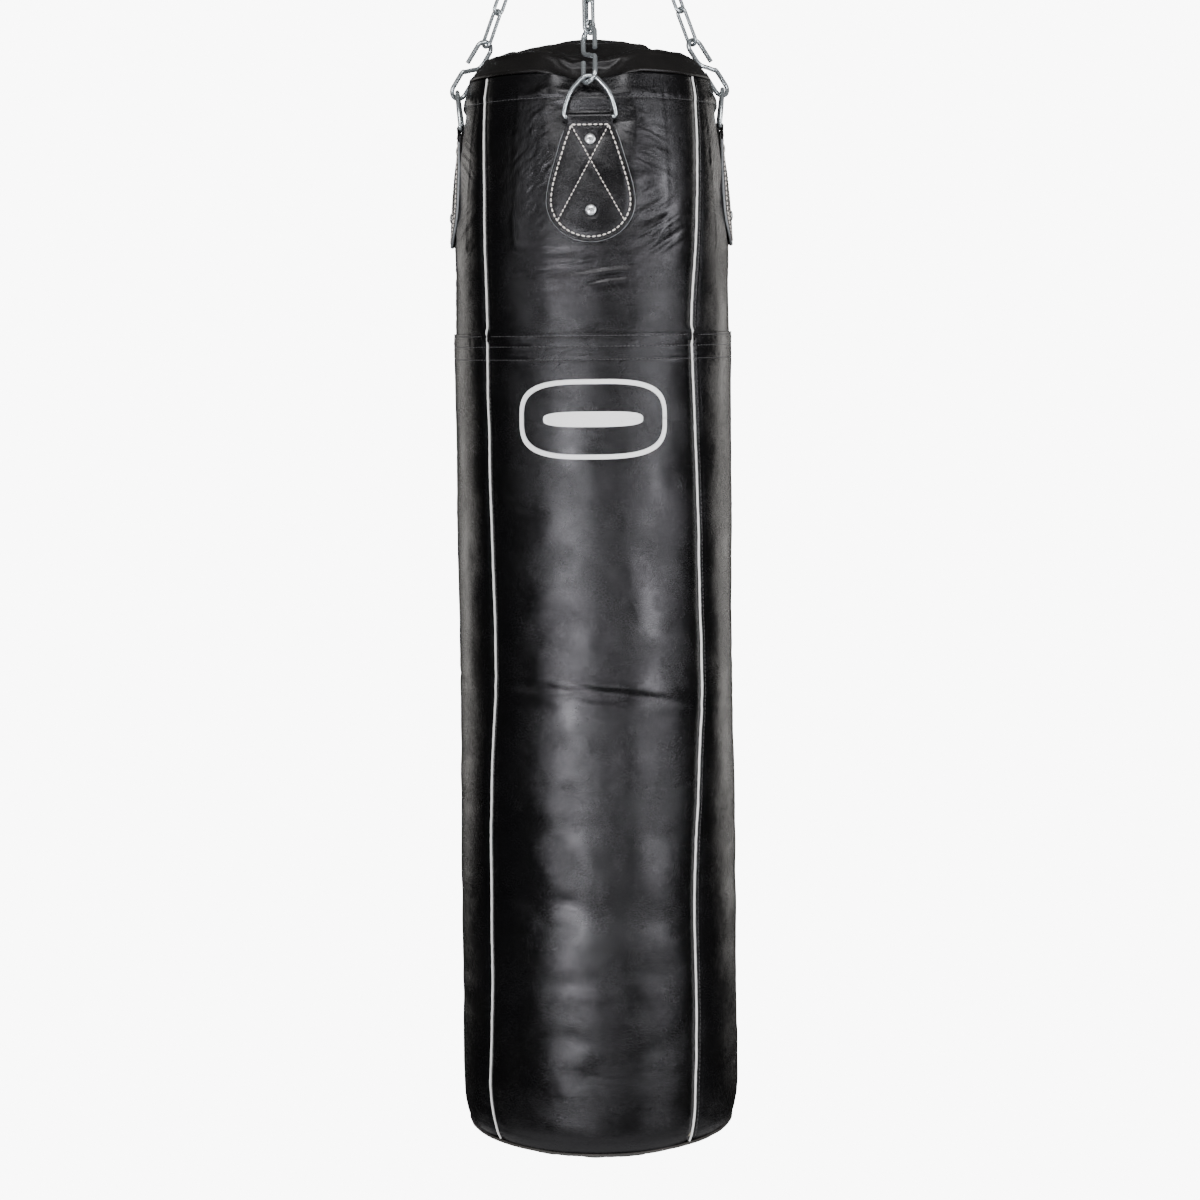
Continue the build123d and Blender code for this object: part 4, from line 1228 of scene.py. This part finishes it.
# domed rivet heads: (radius, height), from the crown to the rim
RIVET_CROWN = 1.75
RIVET_PROFILE = [
    (1.2, 1.72), (2.4, 1.6), (3.5, 1.36), (4.4, 1.02), (5.1, 0.6), (5.5, 0.2), (5.62, -0.25),
    (5.4, -0.6),
]
RIVET_SEGMENTS = 40


def rivet_head(batch, centre, z):
    out, across = side_axes(centre)
    slope = (lug_face(z - 8.0) - lug_face(z + 8.0)) / 16.0
    out = unit(out + np.array([0, 0, slope]))
    up = np.cross(out, across)
    origin = lug_point(centre, 0.0, lug_face(z) + 0.25, z)
    angle = full_circle(RIVET_SEGMENTS)[:, None]
    rng = np.random.default_rng(int(centre) + int(-z))
    verts = [origin + out * RIVET_CROWN]
    for radius, height in RIVET_PROFILE:
        dent = 0.05 * np.sin(angle * 3 + rng.uniform(0, 6)) * (radius / 5)
        spokes = across * (np.cos(angle) * radius) + up * (np.sin(angle) * radius)
        verts += list(origin + out * (height + dent) + spokes)
    body = grid_faces(len(RIVET_PROFILE), RIVET_SEGMENTS, around=True, start=1)
    batch.add(verts, fan(0, 1, RIVET_SEGMENTS), body)


rivets = Batch()
for centre in SIDES.values():
    for rivet_z in RIVET_Z:
        rivet_head(rivets, centre, rivet_z)
rivets.piece("rivet_heads", RIVET, "rivet_steel", "lug_rivets")

# ---------------------------------------------------------------- plain printed badge
BADGE_Z = BAND_Z - 88.0


def badge_patch(batch, across, rise):
    """A thin patch of print laid on the lower leather."""
    path, out = skin_frame(lower_skin, turn_of(across), BADGE_Z + rise)
    top, under = (path + out * 0.16).reshape(-1, 3), (path - out * 0.25).reshape(-1, 3)
    ids = np.arange(across.size).reshape(across.shape)
    border = np.concatenate([ids[:, 0], ids[-1, 1:], ids[-2::-1, -1], ids[0, -2:0:-1]])
    ahead = np.roll(border, -1)
    walls = np.stack([border, ahead, ahead + ids.size, border + ids.size], 1)
    batch.add(np.concatenate([top, under]), grid_faces(*across.shape, flip=True), walls)


def pill(half_long, half_high, angle):
    """Points on a rounded bar's outline."""
    power = 2 / 3.2
    cos, sin = np.cos(angle), np.sin(angle)
    across = half_long * np.sign(cos) * np.abs(cos) ** power
    return across, half_high * np.sign(sin) * np.abs(sin) ** power


badge = Batch()
circle = np.linspace(0, 2 * np.pi, 361)
angle, share = np.meshgrid(circle, np.linspace(0, 1, 6), indexing="ij")
outer_across, outer_rise = pill(79.0, 41.0, angle)
inner_across, inner_rise = pill(74.0, 36.0, angle)
badge_patch(
    badge,
    outer_across + (inner_across - outer_across) * share,
    outer_rise + (inner_rise - outer_rise) * share,
)
angle, share = np.meshgrid(circle, np.linspace(0, 0.995, 16), indexing="ij")
bar_across, bar_rise = pill(52.0, 8.0, angle)
badge_patch(badge, bar_across * (1 - share), bar_rise * (1 - share))
badge.piece("badge_print", WHITE_PRINT, "piping")


# ---------------------------------------------------------------- inner layers
def barrel(name, profile, top, bottom, thick, seed, **looks):
    """An upright layer following (z, radius) points; solid with closed ends if thick is 0."""
    count, rows = 96, 120
    turn, z = np.meshgrid(
        np.linspace(0, 360, count, endpoint=False), np.linspace(top, bottom, rows)
    )
    radius = interp(z, profile) + 0.8 * noise(turn * 2.6, z, 34, 40, seed, 936.0) - 0.8
    verts = at(turn, radius, z)
    if thick:
        verts = np.concatenate([verts, at(turn, radius - thick, z)[::-1]]).reshape(-1, 3)
        faces = grid_faces(2 * rows, count, around=True, looped=True, flip=True)
    else:
        size = rows * count
        verts = [*verts.reshape(-1, 3), [0, 0, top + 24.0], [0, 0, bottom - 0.5]]
        faces = [
            *grid_faces(rows, count, around=True, flip=True),
            *fan(size, 0, count),
            *fan(size + 1, size - count, count, flip=True),
        ]
    bag_piece(name, verts, faces, **looks)


barrel(
    "lining_canvas",
    [(RIM_Z - 12, 127.0), (-531, 130.0), (-560, 137.0), (-609, 142.0), (-650, 142.8),
     (-1040, 141.6), (-1600, 141.6)],
    top=RIM_Z - 14, bottom=SEAM_Z + 7.0, thick=1.0, seed=801,
    material=CANVAS, node="canvas_lining", slot="canvas",
)
barrel(
    "foam_layer",
    [(RIM_Z - 22, 121.0), (-531, 124.0), (-560, 131.0), (-609, 136.0), (-650, 138.5),
     (-1040, 137.6), (-1600, 137.6)],
    top=RIM_Z - 22, bottom=SEAM_Z + 11.0, thick=13.0, seed=802,
    material=FOAM, node="foam_wrap", slot="foam",
)
barrel(
    "packed_textile",
    [(RIM_Z + 6, 98.0), (-600, 106.0), (-660, 121.0), (-1600, 121.0)],
    top=RIM_Z + 4, bottom=SEAM_Z + 12.0, thick=0.0, seed=803,
    material=TEXTILE, node="textile_fill", slot="fill",
)

# ---------------------------------------------------------------- carried-over CAD nodes
CAD_MATERIAL = {
    "swivel_cap_eye": SWIVEL, "swivel_housing": SWIVEL, "swivel_shank": SWIVEL,
    "swivel_lock_nut": SWIVEL, "connecting_link": CHAIN, "gather_ring": CHAIN,
    "thrust_race_upper": STEEL, "bearing_balls": STEEL, "lug_backing_patches": PATCH,
}
for name, ob in frame["nodes"].items():
    if ob.hide_render:
        continue
    by_kind = CHAIN if "chain_link" in name else HOOK if "s_hook" in name else RING
    ob.data.materials.clear()
    ob.data.materials.append(CAD_MATERIAL.get(name, by_kind))

# ---------------------------------------------------------------- camera
scene = bpy.context.scene
camera_data = bpy.data.cameras.new("camera")
camera = bpy.data.objects.new("camera", camera_data)
scene.collection.objects.link(camera)
scene.camera = camera
camera_data.sensor_width = 36.0
camera_data.lens = 72.0221607
camera_data.shift_y = -0.2225
camera_data.clip_start, camera_data.clip_end = 0.05, 60.0
camera.location = (0.008, -2.6, BAND_Z * MM)
camera.rotation_euler = (math.pi / 2, math.radians(0.65), 0)  # level, rolled slightly

# ---------------------------------------------------------------- world
world = bpy.data.worlds.new("studio")
scene.world = world
world.use_nodes = True
tree = world.node_tree
tree.nodes.clear()
output, mix, seen, fill, light_path, coords, axes = (
    tree.nodes.new("ShaderNode" + kind)
    for kind in (
        "OutputWorld", "MixShader", "Background", "Background", "LightPath", "TexCoord",
        "SeparateXYZ",
    )
)
tree.links.new(coords.outputs["Generated"], axes.inputs[0])


def world_part(value, shift, factor):
    """(value + shift) * factor, clamped to 0..1."""
    return math_node(tree, "MULTIPLY", math_node(tree, "ADD", value, shift), factor, clamp=True)


# the fill light is dim, brighter from +Y above the horizon and from overhead
behind = world_part(axes.outputs["Y"], shift=-0.48, factor=2.0)
above = world_part(axes.outputs["Z"], shift=0.42, factor=1.6)
BACK_GLOW, BASE_GLOW, TOP_GLOW = 0.064, 0.018, 0.15
glow = math_node(tree, "MULTIPLY", math_node(tree, "MULTIPLY", behind, above), BACK_GLOW)
glow = math_node(tree, "ADD", glow, BASE_GLOW)
overhead = world_part(axes.outputs["Z"], shift=-0.25, factor=1.0)
glow = math_node(tree, "ADD", glow, math_node(tree, "MULTIPLY", overhead, TOP_GLOW))
fill_in(tree, fill, Color=(1.0, 0.975, 0.94, 1), Strength=glow)
# the camera sees plain white instead
fill_in(tree, seen, Color=(1, 1, 1, 1), Strength=9.0)
for socket, source in zip(
    mix.inputs, (light_path.outputs["Is Camera Ray"], fill.outputs[0], seen.outputs[0])
):
    tree.links.new(source, socket)
tree.links.new(mix.outputs[0], output.inputs[0])

# ---------------------------------------------------------------- lights
COOL, WHITE, WARM = (0.965, 0.965, 1.0), (1, 1, 1), (1.0, 0.97, 0.93)
# (name, turn, distance, z, width, height, watts, colour), lengths in metres
SOFTBOXES = [
    ("key_left", -20, 2.9, -1.39, 0.42, 1.05, 76, COOL),
    ("key_right", 46, 2.9, -1.34, 0.46, 0.85, 38, COOL),
    ("key_middle", 12, 2.9, -1.5, 0.6, 1.1, 14, COOL),
    ("upper_left", -50, 2.9, -0.1, 0.7, 0.9, 12, COOL),
    ("upper_right", 60, 2.9, -0.1, 0.8, 0.9, 42, COOL),
    ("above", 0, 2.3, 1.1, 1.8, 0.8, 66, WHITE),
    ("rim_left", -136, 2.8, -0.85, 0.8, 1.9, 10, WARM),
    ("rim_right", 136, 2.8, -0.95, 0.8, 2.1, 14, WARM),
]
for name, turn, distance, z, width, height, watts, colour in SOFTBOXES:
    light = bpy.data.lights.new(name, "AREA")
    light.shape = "RECTANGLE"
    light.size, light.size_y = width, height
    light.energy = watts
    light.color = colour
    ob = bpy.data.objects.new(name, light)
    angle = math.radians(turn)
    ob.location = (distance * math.sin(angle), -distance * math.cos(angle), z)
    # aimed at the bag's axis, nearer the band than its own height
    target = Vector((0, 0, z * 0.35 + BAND_Z * MM * 0.65))
    ob.rotation_euler = (target - ob.location).to_track_quat("-Z", "Y").to_euler()
    scene.collection.objects.link(ob)

# ---------------------------------------------------------------- floor
FLOOR_R, FLOOR_Z = 1.25, -2.3  # metres
FLOOR_SIDES = 64
paint = Shader("studio_floor")
stops = [(0.3, (0.86, 0.86, 0.86)), (0.7, (0.9, 0.9, 0.9))]
paint.surface(
    Base_Color=paint.ramp(paint.noise(scale=3.0, detail=3), stops),
    Roughness=0.9,
)
mesh = bpy.data.meshes.new("floor")
angles = [2 * math.pi * j / FLOOR_SIDES for j in range(FLOOR_SIDES)]
disc = [(FLOOR_R * math.cos(angle), FLOOR_R * math.sin(angle), FLOOR_Z) for angle in angles]
mesh.from_pydata(disc, [], [list(range(FLOOR_SIDES))])
floor = bpy.data.objects.new("floor", mesh)
mesh.materials.append(paint.material)
scene.collection.objects.link(floor)
